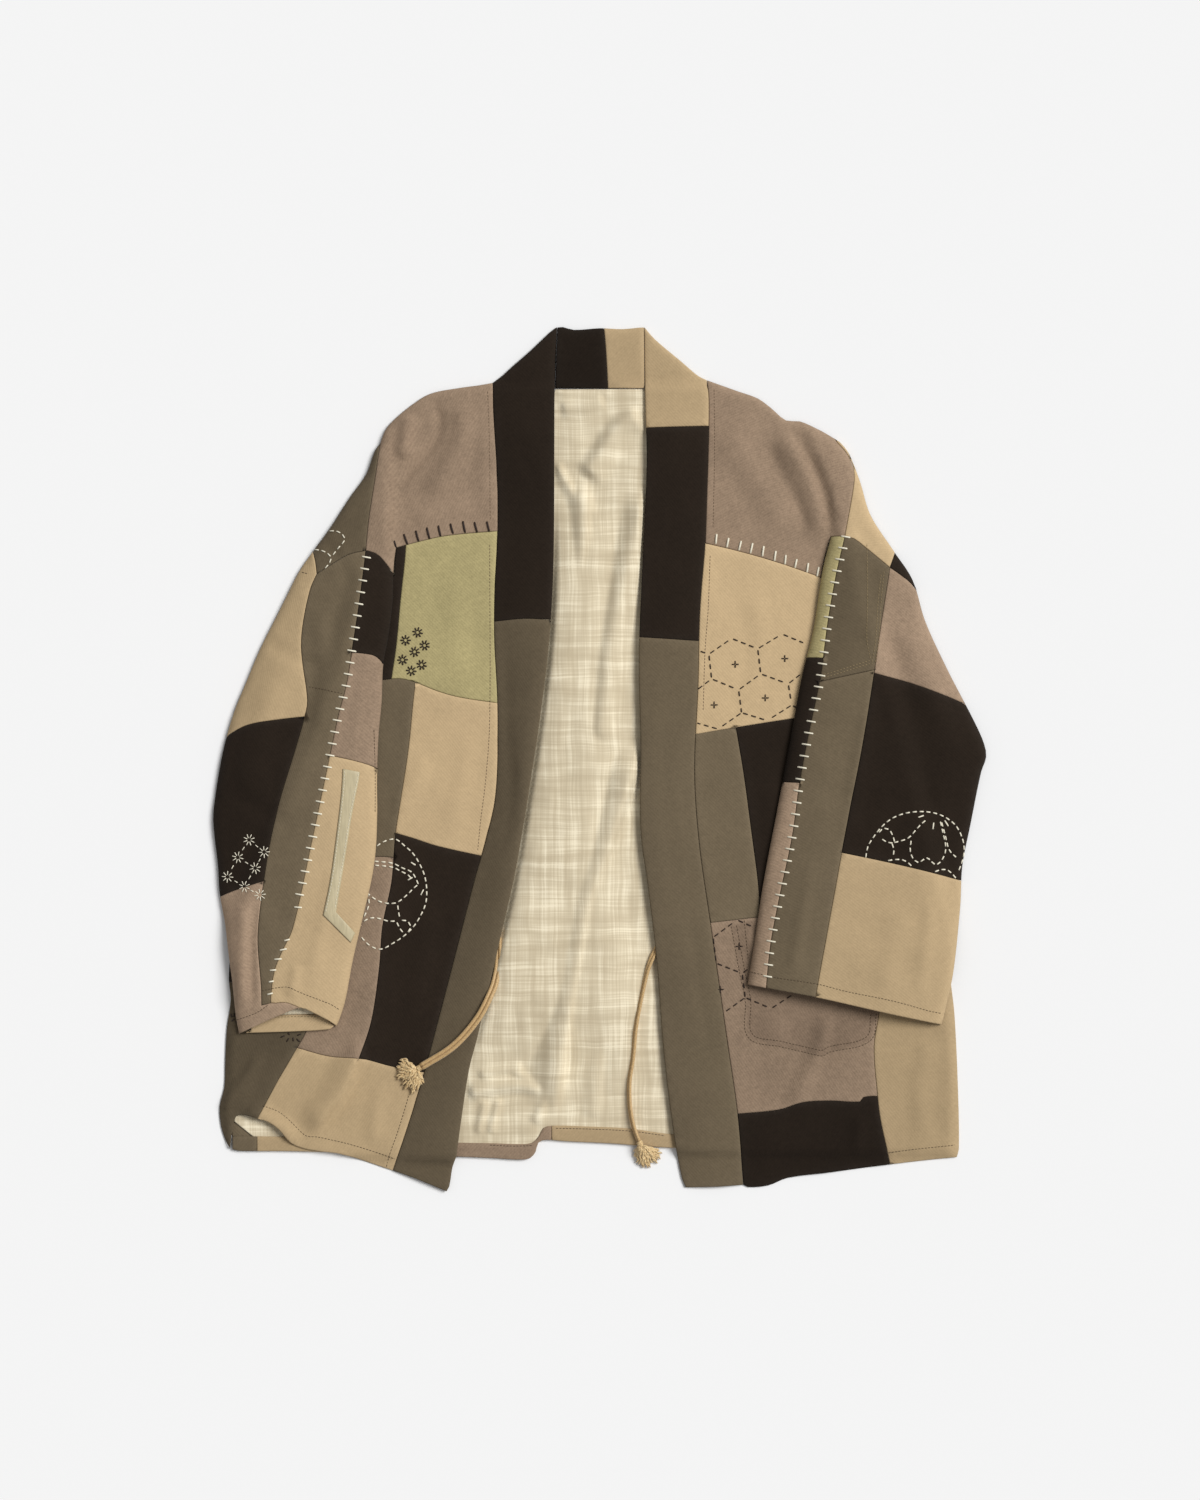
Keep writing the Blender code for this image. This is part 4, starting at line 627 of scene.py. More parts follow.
back = Panel(BACK_OUTLINE, [[(384, 1165), (384, 380)], [(551.5, 1150), (551.5, 380)], [(257.2, 1160), (257.2, 996)],
                            [(258.2, 996), (225, 996)]], step=40)
for name, seed, colour, grain in (("back_olive", (250, 1060), OLIVE, 0), ("back_beige_left", (320, 1000), BEIGE, 10),
                                  ("back_mauve", (450, 800), MAUVE, 20), ("back_beige_right", (700, 800), BEIGE, 35)):
    lay(name, back, [seed], level(BACK_CLOTH), BACK_CLOTH, brushed_twill(name + "_twill", colour, grain))


# Back lining: one panel of natural cotton plain weave, hand-spun with slubs, so thicker and thinner
# yarns cross in a soft check. It hangs loose on the back and falls into long folds.

LINING_HEM = [(232.8, 1135.6), (285, 1136.2), (370, 1138), (456, 1142), (492.6, 1142.7), (520, 1143.5),
              (532, 1142.4), (539, 1135.5), (543.4, 1127.6), (551.5, 1125.3), (587, 1126), (629, 1128),
              (675, 1134), (760, 1136), (860, 1136.4), (948.6, 1136)]
LEFT_BAND_INNER = [(457, 1155.5), (461.6, 1120), (469.7, 1068), (478, 1036), (503, 928), (516.4, 868),
                   (530.7, 782), (540.3, 718.6), (548.9, 648), (553, 586), (554.3, 531), (554.6, 446),
                   (554.9, 388.5), (557, 327.2)]
RIGHT_BAND_INNER = [(644.2, 327.2), (644.8, 388.8), (646.4, 466), (642.4, 558.7), (638.6, 660),
                    (640.3, 745), (640.3, 830), (647.3, 884), (655.7, 953.7), (663, 1048), (672.6, 1128),
                    (681.5, 1177), (685.4, 1187.2)]
HEM_STRIP = curve(LINING_HEM) + curve(BACK_HEM)[::-1]
LINING_FOLDS = [
    ([(640, 735), (634, 762), (623, 800), (605, 856), (589, 900), (580, 950), (571, 1000), (563, 1045),
      (556, 1088), (549, 1120)], 12.0, 11, 34),
    ([(648, 484), (640, 520), (628, 566), (619, 604), (609, 660), (604, 705), (598, 760)], 10.5, 24, 24),
    ([(574, 482), (583, 502), (583, 540), (578, 590), (566, 650)], 8.0, 15, 20),
    ([(642, 414), (622, 425), (608, 443), (599, 458), (584, 478)], 8.0, 22, 15),
    ([(604, 398), (584, 404), (560, 408)], 3.6, 16, 9),
    ([(556, 463), (566, 480), (577, 499)], 4.0, 5, 12),
    ([(589, 498), (595, 515), (597, 538)], 3.4, 5, 10),
    ([(466, 1094), (490, 1088), (520, 1085), (546, 1091)], 6.0, 12, 11),
    ([(478, 1076), (500, 1071), (524, 1067)], 3.6, 9, 8),
    ([(510, 1068), (524, 1078), (540, 1086), (549, 1094)], 3.4, 8, 7),
    ([(548, 1092), (542, 1108), (536, 1124)], 4.0, 10, 10),
    ([(500, 1098), (494, 1118), (491, 1134)], 3.0, 6, 7),
    ([(485, 1100), (481, 1120), (478, 1134)], 2.8, 6, 6),
    ([(626, 860), (630, 940), (628, 1020), (624, 1100)], 2.2, 24, 30),
    ([(524, 960), (517, 1000), (520, 1050)], 3.2, 18, 10),
    ([(600, 1040), (596, 1080), (592, 1120)], 2.2, 12, 16),
    ([(612, 393.4), (600, 394.6), (580, 394.8), (558, 395)], 1.1, 4, 4),
]


def lining_top(x, y):
    """Height of the lining: soft folds that fade out where the hem holds it down."""
    off_hem = np.where(inside_by(HEM_STRIP, x, y) < 0, soft((gap_to(curve(LINING_HEM), x, y) - 1) / 12), 0)
    shown = soft((x - 470) / 30) * soft((690 - x) / 30)
    creased = ripple(x, y, 16, 0.5, 3.1) + ripple(x, y, 45, 1.6, 8.4)
    from_left, from_right = (np.where(side < 0, gap, 0) for gap, side, _ in
                             (nearest(curve(edge), x, y) for edge in (LEFT_BAND_INNER, RIGHT_BAND_INNER)))
    free = np.clip(from_left / 5, 0, 1) * soft(from_right / 5)
    tucked = 4.8 * np.clip(from_left / 4.5, 0, 1) + 4.3 * np.sin(np.clip(from_left / 24, 0, 1) * math.pi / 2)
    tucked *= soft(from_right / 60) * soft((y - 480) / 120) * soft((1075 - y) / 90)
    raised = np.maximum(folds(x, y, LINING_FOLDS, 0.12) * free, tucked)
    return LINING_TOP + (raised + np.maximum(creased, -0.4) * shown * free) * off_hem


def slub_weave(name, colour, thick, shade):
    """Hand-spun cotton plain weave: pale slubs cross at right angles on a duller, thinner ground."""
    # Yarns are 0.5 mm apart and slubs 1 to 2 mm wide; only the slubs are drawn
    material = bpy.data.materials.new(name)
    material.use_nodes = True
    tree = material.node_tree
    shader = tree.nodes["Principled BSDF"]
    place = add_node(tree, "TexCoord")
    yarns = []
    wander = add_node(tree, "TexNoise", {"Scale": 26.0, "Detail": 1.0}, {"Vector": (place, "Object")})
    bent = add_node(tree, "MixRGB", {"blend_type": "ADD", "Fac": 0.005}, {1: (place, "Object"), 2: (wander, "Color")})
    for slubs, bunches in (((500, 6, 1), (90, 9, 1)), ((8, 500, 1), (11, 80, 1))):
        noises = [add_node(tree, "TexNoise", {"Scale": 1.0, "Detail": detail, "Roughness": 0.6},
                           {"Vector": (add_node(tree, "Mapping", {"Scale": scale}, {"Vector": (bent, 0)}), 0)})
                  for scale, detail in ((slubs, 3.0), (bunches, 1.5))]
        yarns.append(add_node(tree, "Math", {"operation": "MULTIPLY"}, {0: (noises[0], "Fac"), 1: (noises[1], "Fac")}))
    woven = add_node(tree, "Math", {"operation": "ADD"}, {0: (yarns[0], 0), 1: (yarns[1], 0)})
    tint = add_node(tree, "ValToRGB", (), {"Fac": (woven, 0)})
    ramp = tint.color_ramp
    ramp.elements[0].position, ramp.elements[1].position = 0.34, 0.7
    ramp.elements[0].color, ramp.elements[1].color = linear(shade), linear(thick)
    ramp.elements.new(0.5).color = linear(colour)
    tree.links.new(tint.outputs["Color"], shader.inputs["Base Color"])
    bump = add_node(tree, "Bump", {"Strength": 0.3, "Distance": 0.0004}, {"Height": (woven, 0)})
    tree.links.new(bump.outputs[0], shader.inputs["Normal"])
    shader.inputs["Roughness"].default_value = 0.85
    shader.inputs["Specular IOR Level"].default_value = 0.3
    shader.inputs["Sheen Weight"].default_value = 0.1
    return material


natural_cotton = slub_weave("natural_cotton_slub_weave", "#d4c6a9", "#f1e5c9", "#c4b598")


def shifted(route, distance):
    """Route moved sideways, to its left if the distance is positive."""
    route = np.asarray(route, dtype=float)
    runs = np.gradient(route, axis=0)
    runs /= np.maximum(np.linalg.norm(runs, axis=1), 1e-9)[:, None]
    return [tuple(p) for p in route + np.column_stack((runs[:, 1], -runs[:, 0])) * distance]


lining_outline = ([(646, 393), (644.6, 389.4), (600, 389.4), (555.2, 389.4), (554, 393)]
                  + shifted(curve(BACK_LEFT, 40), 5)[1:-2] + shifted(curve(LINING_HEM, 40), -5)[1:-1]
                  + shifted(curve(BACK_RIGHT, 40), 5)[2:-1])
lay("back_lining", Panel(lining_outline, step=12.0, fine=((455, 380), (700, 1150), 3.2)), [(600, 600)], lining_top,
    LINING_CLOTH, natural_cotton, rim=0.1)


# Turned-up hem of the back: the lower 20 mm of each length is turned up over the lining's raw edge and
# stitched down by machine.

hem = Panel(HEM_STRIP, [[(257.2, 1160), (257.2, 1120)], [(384, 1165), (384, 1120)], [(551.5, 1150), (551.5, 1115)]])
for name, seed, colour in (("olive", (245, 1143), OLIVE), ("beige_left", (320, 1144), BEIGE),
                           ("mauve", (450, 1149), MAUVE), ("beige_right", (700, 1141), BEIGE)):
    lay("back_hem_" + name, hem, [seed], level(HEM_TOP), HEM_CLOTH,
        brushed_twill(f"back_hem_{name}_twill", colour, 90, 0.84))
machine("back_hem_stitching", [[(490, 1144.6), (512, 1145.6), (534, 1145)],
                               [(556, 1127.8), (590, 1128.6), (630, 1130.6), (664, 1135)]],
        level(HEM_TOP), umber_thread)


# Band: a straight strip of twill folded over interlining and sewn round the neck and down both fronts.
# It is pieced from dark brown, beige and olive lengths, and its inner edge stands off the lining.

LEFT_BAND_OUTER = [(492.8, 383), (494, 420.5), (497.4, 480), (497.8, 530), (494.6, 600), (494.6, 640),
                   (497.8, 712), (495.7, 795), (485.7, 841), (475, 878), (450.5, 973), (427, 1062),
                   (412.2, 1112.6), (393, 1170.4)]
LEFT_BAND_HEM = [(393, 1170.4), (413.7, 1177.5), (446.8, 1191)]
LEFT_BAND_TIP = [(446.8, 1191), (449.6, 1186), (452.7, 1167), (457, 1155.5)]
COLLAR_LEFT = [(557, 327.2), (551, 331.5), (530, 351.4), (511, 368), (503, 375.4), (492.8, 383)]
COLLAR_BACK = [(644.2, 327.2), (622, 329.3), (600, 328.4), (574, 330), (563, 327.2), (557, 327.2)]
COLLAR_RIGHT = [(706.8, 380.4), (698, 376), (681, 361.6), (655, 339.6), (644.2, 327.2)]
RIGHT_BAND_OUTER = [(706.8, 380.4), (708.6, 400), (707.8, 457), (705, 543), (699.6, 612), (697.7, 686),
                    (694.2, 772), (699, 844), (710, 922), (726.8, 1040), (737.3, 1113.4), (743.2, 1184.6)]
RIGHT_BAND_HEM = [(685.4, 1187.2), (719.9, 1186.2), (743.2, 1184.6)]
BAND_DENTS = [
    ([(505, 640), (506, 720), (512, 800), (498, 870)], -1.5, 10, 10),
    ([(534, 650), (530, 720), (520, 800)], 0.8, 10, 10),
    ([(518, 450), (532, 474), (541, 494)], -0.7, 8, 8),
    ([(530, 540), (540, 570), (536, 610)], -0.5, 10, 10),
    ([(668, 700), (664, 800), (676, 900)], -0.9, 14, 14),
    ([(680, 900), (692, 930), (700, 990), (712, 1060)], -1.1, 9, 9),
    ([(664, 470), (670, 520), (660, 580)], -0.6, 10, 10),
]


def over_back(x, y):
    """1 where the back lies under a point, falling to 0 just outside its outline."""
    return soft((inside_by(BACK_OUTLINE, x, y) + BACK_INSET) / (BACK_INSET - 1))


def band_height(inner, outer, collar, lift):
    """Height function of a front band, arched across with its inner edge standing up."""
    inner, outer, collar = curve(inner, 12), curve(outer, 12), curve(collar, 12)

    def at(x, y):
        to_inner, to_outer = gap_to(inner, x, y), gap_to(outer, x, y)
        across = to_outer / np.maximum(to_inner + to_outer, 1e-6)
        on_back = over_back(x, y)
        stand = lift * soft(across) * on_back * soft((y - 395) / 60) * (1 + soft((y - 560) / 140) * soft((950 - y) / 60))
        arch = 2.2 * np.sin(across * math.pi)
        edge = rolled(gap_to(collar, x, y) + 0.6, 6.0)
        wave = folds(x, y, BAND_DENTS) * np.sin(across * math.pi) + ripple(x, y, 30, 0.25, 7.7)
        return FLOOR_GAP + BAND_CLOTH + ((FRONT_REST - FLOOR_GAP) * on_back + arch + stand + wave) * edge
    return at


def neck_band_height(x, y):
    crown = 1.8 * rolled(gap_to(curve(COLLAR_BACK), x, y), 12.0) * (1 - 0.4 * soft((y - 360) / 28))
    return FLOOR_GAP + BAND_CLOTH + crown


left_band_height = band_height(LEFT_BAND_INNER, LEFT_BAND_OUTER, COLLAR_LEFT, 3.6)
right_band_height = band_height(RIGHT_BAND_INNER, RIGHT_BAND_OUTER, COLLAR_RIGHT, 2.2)
left_band = Panel(joined([LEFT_BAND_INNER, COLLAR_LEFT, LEFT_BAND_OUTER, LEFT_BAND_HEM, LEFT_BAND_TIP]),
                  [[(490, 622.2), (524.5, 619), (553, 620.5)]])
neck_band = Panel([(557.4, 327.6), *curve(COLLAR_BACK)[::-1][1:-1], (643.9, 327.6), (644.5, 388.6),
                   (600, 388.8), (555.3, 388.4), (556.2, 356)], [[(603.6, 326), (605.5, 347), (608, 391)]])
right_band = Panel(joined([RIGHT_BAND_INNER, COLLAR_RIGHT, RIGHT_BAND_OUTER, RIGHT_BAND_HEM]),
                   [[(643, 428.5), (711, 426.5)], [(636, 637.2), (662.6, 638.8), (702, 641.3)]])
for name, panel, seed, height, colour, grain, tone in (
        ("left_band_dark", left_band, (525, 500), left_band_height, DARK, 0, 1.0),
        ("left_band_olive", left_band, (500, 800), left_band_height, OLIVE, 5, 0.72),
        ("neck_band_dark", neck_band, (580, 350), neck_band_height, DARK, 90, 0.75),
        ("neck_band_beige", neck_band, (625, 350), neck_band_height, BEIGE, 90, 0.9),
        ("right_band_beige", right_band, (680, 400), right_band_height, BEIGE, 0, 0.94),
        ("right_band_dark", right_band, (675, 550), right_band_height, DARK, 8, 1.0),
        ("right_band_olive", right_band, (670, 900), right_band_height, OLIVE, 0, 0.86)):
    lay(name, panel, [seed], height, BAND_CLOTH, brushed_twill(name + "_twill", colour, grain, tone),
        rim=0.6)


# Left front: nine patches of twill pieced by machine, with dark and cream running stitches by hand.
# The shoulder patch runs on to the sleeve head, and the hem is folded up under the side.

EDGE_ROLL = 7.0
LEFT_SHOULDER = [(492.8, 383), (478, 385.6), (460, 388), (430, 394), (410, 406.5), (392, 422), (385, 431),
                 (380.5, 443.5)]
LEFT_SLEEVE_OUTER = [(380.5, 443.5), (375, 451), (366.5, 474), (350, 497.6), (330, 528.5), (314, 550.5),
                     (300, 570.5), (289, 592), (279, 612), (260, 650), (247, 681), (234, 713), (222.9, 752.6),
                     (214.8, 801), (213.4, 822), (218.2, 867), (219.9, 893.7), (225.8, 926), (229.9, 957),
                     (233.2, 982), (236.8, 1016), (240, 1033)]
LEFT_SLEEVE_INNER = [(393.8, 574), (393.4, 601), (388.7, 639), (384, 664), (382.4, 702), (379.2, 737),
                     (377.8, 781), (378, 812), (376.6, 849), (372.4, 879), (364.3, 914), (353.3, 961.5),
                     (345.9, 1001), (337.8, 1025.6)]
LEFT_SIDE_HIDDEN = [(372, 584), (362, 612), (352, 648), (335, 703), (300, 793), (262, 882), (238, 936),
                    (229.9, 957)]
LEFT_SIDE_SHOWN = [(229.9, 957), (228.9, 980), (230.8, 999), (227, 1028), (225.3, 1060), (224.4, 1087),
                   (219.8, 1106), (221.2, 1126), (226.5, 1142), (230.4, 1148.6)]
LEFT_FRONT_HEM_RAISED = [(230.4, 1148.6), (231.7, 1137.7), (233.5, 1127), (237, 1115.5), (246, 1114.4),
                         (258.2, 1117.8), (269, 1121), (280, 1129), (291.4, 1142.4), (303, 1147.6),
                         (320, 1150.6), (337, 1152.6)]
LEFT_FRONT_HEM_LOW = [(337, 1152.6), (350, 1156), (372.4, 1163.5), (393, 1170.4)]
LEFT_FRONT_FOLDS = [
    ([(350, 1034), (360, 1050), (354, 1070), (340, 1097), (326, 1115), (309, 1136)], 8.0, 5, 30),
    ([(264, 1052), (244, 1082), (222, 1112)], 4.2, 7, 9),
    ([(254, 1076), (246, 1094), (236, 1111)], 2.6, 5, 6),
    ([(240, 1108), (262, 1115), (280, 1126), (300, 1143)], 5.0, 14, 14),
    ([(430, 757), (412, 786), (399, 818)], 2.2, 16, 16),
    ([(452, 560), (458, 620), (452, 680)], 1.4, 20, 20),
    ([(430, 880), (424, 950), (410, 1040)], 1.6, 18, 18),
    ([(382, 1080), (376, 1110), (372, 1148)], 1.8, 12, 12),
    ([(470, 720), (462, 780), (446, 840)], 1.2, 16, 16),
]
LEFT_SHOULDER_FOLDS = [
    ([(452, 396), (464, 426), (450, 464), (424, 498)], 4.6, 22, 18),
    ([(412, 414), (406, 438), (402, 462)], 5.0, 13, 12),
    ([(474, 498), (440, 512), (410, 520)], 2.2, 18, 14),
    ([(431, 396), (438, 410), (440, 430), (430, 451), (412, 471), (395, 494)], -3.2, 6, 9),
    ([(484, 400), (482, 450), (486, 500)], 1.4, 10, 10),
]
LEFT_SILHOUETTE = curve(LEFT_SHOULDER) + curve(LEFT_SLEEVE_OUTER)
LEFT_SIDE = curve(LEFT_SIDE_HIDDEN) + curve(LEFT_SIDE_SHOWN)
LEFT_CREASE = [(391, 420), (390.8, 441), (393.3, 479), (395.3, 520), (395, 548), (394, 576)]
SLEEVE_REST = FRONT_REST + OUTER_CLOTH + 0.6
UNDER_SLEEVE, SLEEVE_HOLLOW, SLEEVE_ROLL = 1.8, 4.3, 8.0
UNDER_LEFT_SLEEVE = [(430, 576), (430, 1060), (225.3, 1060), (230.8, 999), (229.9, 957), (238, 936),
                     (262, 882), (300, 793), (335, 703), (352, 648), (362, 612), (372, 582)]
LEFT_SLEEVE_FOLDS = [
    ([(247, 900), (244, 950), (244, 1008)], 3.6, 8, 12),
    ([(259, 888), (254, 950), (254, 1012)], -2.4, 5, 5),
    ([(290, 640), (262, 720), (246, 800)], 3.2, 26, 26),
    ([(300, 962), (292, 998)], 2.6, 8, 9),
    ([(318, 600), (326, 660), (318, 740)], 1.6, 14, 14),
    ([(262, 640), (300, 660), (330, 668)], -1.8, 12, 12),
    ([(230, 790), (262, 810), (300, 830)], -1.6, 14, 14),
    ([(322, 540), (340, 560), (352, 590)], -1.2, 9, 9),
    ([(340, 850), (326, 920), (312, 980)], 1.6, 12, 12),
    ([(368, 640), (362, 700), (352, 760)], 1.2, 9, 9),
]



def front_height(edge, routes, seed):
    """Height function of a front: on the back, on the floor past the hem, rolled down at its side."""
    def at(x, y):
        raised = folds(x, y, routes) + ripple(x, y, 38, 0.9, seed) + ripple(x, y, 13, 0.3, seed)
        rise = (FRONT_REST - FLOOR_GAP) * over_back(x, y) + raised
        return FLOOR_GAP + rise * rolled(gap_to(edge, x, y), EDGE_ROLL) + OUTER_CLOTH
    return at


def sleeve_rest(x, y, covered):
    """Underside of a sleeve's lower layer: on the front, and down to the floor beside it."""
    return FLOOR_GAP + (SLEEVE_REST - FLOOR_GAP) * soft((inside_by(covered, x, y) + 25) / 23)


def sleeve_height(covered, outer, inner, routes, seed):
    """Height function of a folded sleeve's upper layer: rolled down at its two edges, full between."""
    def at(x, y):
        gap = np.minimum(gap_to(outer, x, y), gap_to(curve(inner, 12), x, y))
        full = UNDER_SLEEVE + SLEEVE_HOLLOW + folds(x, y, routes) + ripple(x, y, 34, 1.1, seed)
        full += ripple(x, y, 13, 0.3, seed)
        crown = 7.5 * np.sin(np.clip((gap - 2) / 46, 0, 1) * math.pi / 2)
        return sleeve_rest(x, y, covered) + full * rolled(gap, SLEEVE_ROLL) + crown + OUTER_CLOTH
    return at


def shoulder_height(crease, silhouette, routes, sleeve, outward, seed):
    """Height function of a shoulder patch: front height to the crease, sleeve height past it."""
    def at(x, y):
        gap, side, _ = nearest(curve(crease, 12), x, y)
        past = soft((gap * side * outward + 5) / 15)
        raised = FRONT_REST - FLOOR_GAP + folds(x, y, routes) + ripple(x, y, 30, 1.0, seed)
        body = FLOOR_GAP + raised * rolled(gap_to(silhouette, x, y), EDGE_ROLL) + OUTER_CLOTH
        return body + (sleeve(x, y) - body) * past
    return at


left_front_height = front_height(LEFT_SIDE, LEFT_FRONT_FOLDS, 1.3)
left_sleeve_height = sleeve_height(UNDER_LEFT_SLEEVE, LEFT_SILHOUETTE, LEFT_SLEEVE_INNER, LEFT_SLEEVE_FOLDS, 5.2)
left_shoulder_height = shoulder_height(LEFT_CREASE, LEFT_SILHOUETTE, LEFT_SHOULDER_FOLDS, left_sleeve_height, -1, 2.4)
left_shoulder = Panel(joined([LEFT_SHOULDER, [(492.8, 383), (494, 420.5), (497.4, 480), (497.8, 531.4)],
                              [(497.8, 531.4), (465, 534), (441, 537), (419, 542), (396.5, 548)],
                              [(396.5, 548), (394.8, 560), (393.8, 574)],
                              [(393.8, 574), (384, 561), (376, 554), (366.5, 551.5)],
                              [(366.5, 551.5), (369.5, 520), (375.4, 480), (380.5, 443.5)]]), step=4.5)
lay("left_front_mauve_shoulder", left_shoulder, [(450, 450)], left_shoulder_height, OUTER_CLOTH,
    brushed_twill("left_shoulder_twill", MAUVE, 70, 0.92))
left_front = Panel(
    joined([[(497.8, 531.4), (465, 534), (441, 537), (419, 542), (396.5, 548)],
            [(396.5, 548), (395, 562), (394.4, 576)], [(394.4, 576), (384, 578.5), (372, 584)],
            LEFT_SIDE_HIDDEN, LEFT_SIDE_SHOWN, LEFT_FRONT_HEM_RAISED, LEFT_FRONT_HEM_LOW,
            [(497.8, 531.4), (494.6, 600), (494.6, 640), (497.8, 712), (495.7, 795), (485.7, 841), (475, 878),
             (450.5, 973), (427, 1062), (412.2, 1112.6), (393, 1170.4)]]),
    [[(406.3, 541), (405, 560), (400.5, 602), (396.6, 644), (391.3, 681)],
     [(362, 681), (383.6, 680), (400, 678.7), (415.5, 682.4), (437, 691), (460, 697.4), (501, 703.6)],
     [(415.5, 682), (413.2, 702), (408.4, 749.5), (401.3, 797), (395.8, 832), (393.9, 857),
      (391.6, 883), (382.7, 926), (379.5, 967), (371.7, 1020), (359.6, 1058)],
     [(395.4, 832.9), (413, 838), (437, 845.8), (487, 857)],
     [(352, 855.6), (376, 856.4), (394.3, 857)],
     [(363, 679), (361, 760), (353, 857), (340, 930), (318, 985), (306.8, 1030), (297, 1048),
      (276.6, 1083), (256.5, 1121)],
     [(220, 981), (260, 984), (320, 985)],
     [(297.2, 1047.2), (329.7, 1055.8), (360.3, 1057.6), (391.6, 1065.8), (431, 1073)]])
for name, seed, colour, grain, tone in (
        ("dark_side", (330, 850), DARK, 0, 1.0), ("green", (450, 620), GREEN, 0, 1.0),
        ("olive_strip", (380, 770), OLIVE, 8, 0.85), ("beige", (440, 770), BEIGE, 5, 1.08),
        ("mauve_strip", (345, 1000), MAUVE, 12, 0.82), ("dark", (420, 950), DARK, 15, 1.1),
        ("beige_hem", (360, 1110), BEIGE, 80, 0.92), ("olive_side", (250, 1060), OLIVE, 25, 0.6)):
    lay("left_front_" + name, left_front, [seed], left_front_height, OUTER_CLOTH,
        brushed_twill(f"left_front_{name}_twill", colour, grain, tone))
GREEN_SEAM_TOPS = [(394.5, 541), (404, 534), (416, 530.5), (427, 527.5), (438.5, 525.5), (450.5, 523.5), (463, 521),
                   (474.5, 522), (487, 521.5)]
GREEN_SEAM_FEET = [(396.5, 548), (408, 545), (419, 542), (430, 539.5), (441, 537), (453.5, 534.5), (465.5, 533.5),
                   (477.5, 533), (489.5, 532)]
sew("left_shoulder_stitches", list(zip(GREEN_SEAM_TOPS, GREEN_SEAM_FEET)), left_shoulder_height, 1.9, brown_thread,
    6)
LEFT_FLOWERS = [(418, 632.6), (406, 640.5), (425, 645.6), (415, 652), (403, 660), (422, 665), (411.6, 671)]
sew("green_patch_flowers", [stitch for x, y in LEFT_FLOWERS for stitch in flower(x, y, 1.3, 5.5, 8, x)],
    left_front_height, 1.5, brown_thread)
LEFT_BALL = [
    [(377, 846), (385, 841), (396, 839), (404, 845), (413, 853), (420, 864), (425, 876), (427, 890), (426, 903),
     (421, 915), (414, 926), (405, 935), (393, 943), (381, 949), (370, 945), (361, 936)],
    [(374.5, 861), (393, 863), (403, 868), (411, 871), (415, 876), (419, 885)],
    [(375, 865), (393, 867), (402, 871.5), (409, 875), (413, 880)],
    [(367, 892), (374, 898), (384, 902.5), (395, 903), (401, 900), (409, 893), (416, 886), (421, 883)],
    [(367, 892), (369.6, 901.5), (367, 911), (363, 919)],
    [(398, 905), (399, 913), (401, 921)],
    [(364, 921), (371, 917.5), (379, 918), (389, 921), (396, 921), (400, 928), (404, 933)],
    [(402, 920), (408, 921), (411, 927), (408, 932)],
]
LEFT_BALL_KNOTS = [[(411, 862), (416, 865)], [(408, 880), (413, 877)], [(421, 895), (424, 889)]]
sew("left_ball_stitches", [stitch for line in LEFT_BALL for stitch in dashes(line, 4.6, 2.4)] + LEFT_BALL_KNOTS,
    left_front_height, 1.5, cream_thread)
machine("left_front_topstitching",
        [[(409, 1095), (404, 1112.6), (397.5, 1133), (390, 1154), (386.4, 1167)],
         [(263, 1105), (276.6, 1109.7), (285.5, 1115.6), (294.3, 1123.7), (303, 1132.5), (307.6, 1135.5),
          (318, 1136.2), (332.6, 1139.4), (347.4, 1142.8), (376.8, 1151.7), (396, 1158.6)]],
        left_front_height, umber_thread)
machine("left_band_seam_topstitching", [[(490, 545), (490, 720), (486, 780), (481, 820), (478, 850)]],
        left_front_height, faded_thread)
machine("left_shoulder_topstitching", [[(488, 392), (489.6, 440), (490.6, 520)]], left_shoulder_height, faded_thread)
LEFT_SIDE_FLOWERS = [[(231, 1013), (232.5, 1017)], [(235, 1012.5), (234.4, 1016.5)], [(232, 1021), (235, 1018.6)],
                     [(237, 1016.5), (240, 1015)], [(236.5, 1020.5), (239, 1024)], [(281, 1037), (285.5, 1035)],
                     [(287, 1041.5), (289.6, 1037.5)], [(294, 1041), (293.6, 1036.8)], [(297.5, 1035), (302, 1033.4)],
                     [(297, 1038), (300.4, 1041.4)], [(288.4, 1032), (290.4, 1034.4)]]
sew("left_side_flowers", LEFT_SIDE_FLOWERS, left_front_height, 1.3, brown_thread)


# Right front: seven patches of twill pieced by machine. One was cut from the seat of old trousers and
# keeps the dark mark of a back pocket; hexagons are stitched by hand on the beige one.

RIGHT_FRONT_HEM = [(743.2, 1184.6), (748, 1187), (768, 1185.4), (788, 1177.7), (828.4, 1172.5),
                   (889.8, 1164.3), (935.5, 1159), (956.6, 1157)]
RIGHT_SIDE_SHOWN = [(956.6, 1157), (958.8, 1149), (958, 1091), (954.5, 1015), (951, 984)]
RIGHT_SIDE_HIDDEN = [(951, 984), (945, 950), (930, 886), (907, 800), (884, 706), (866, 640), (848, 596)]
RIGHT_SHOULDER = [(706.8, 380.4), (738, 391.5), (757.4, 398.4), (770.8, 408), (786, 420.6), (799.5, 421.4),
                  (821, 431), (834, 438.6)]
RIGHT_SLEEVE_OUTER = [(834, 438.6), (849.2, 455.8), (860, 482), (870.3, 515), (893.2, 550.5), (912.4, 580),
                      (925, 621), (947, 669), (974.7, 722.6), (984, 744), (986, 757), (981, 772),
                      (969.8, 827), (962.2, 866), (960, 908), (952.3, 973), (945.6, 1004), (941, 1024)]
RIGHT_SLEEVE_INNER = [(830.6, 537), (822.4, 568.7), (812.6, 630), (800.7, 679), (788, 750), (777, 807.6),
                      (762.4, 885), (753.6, 944), (747, 984)]
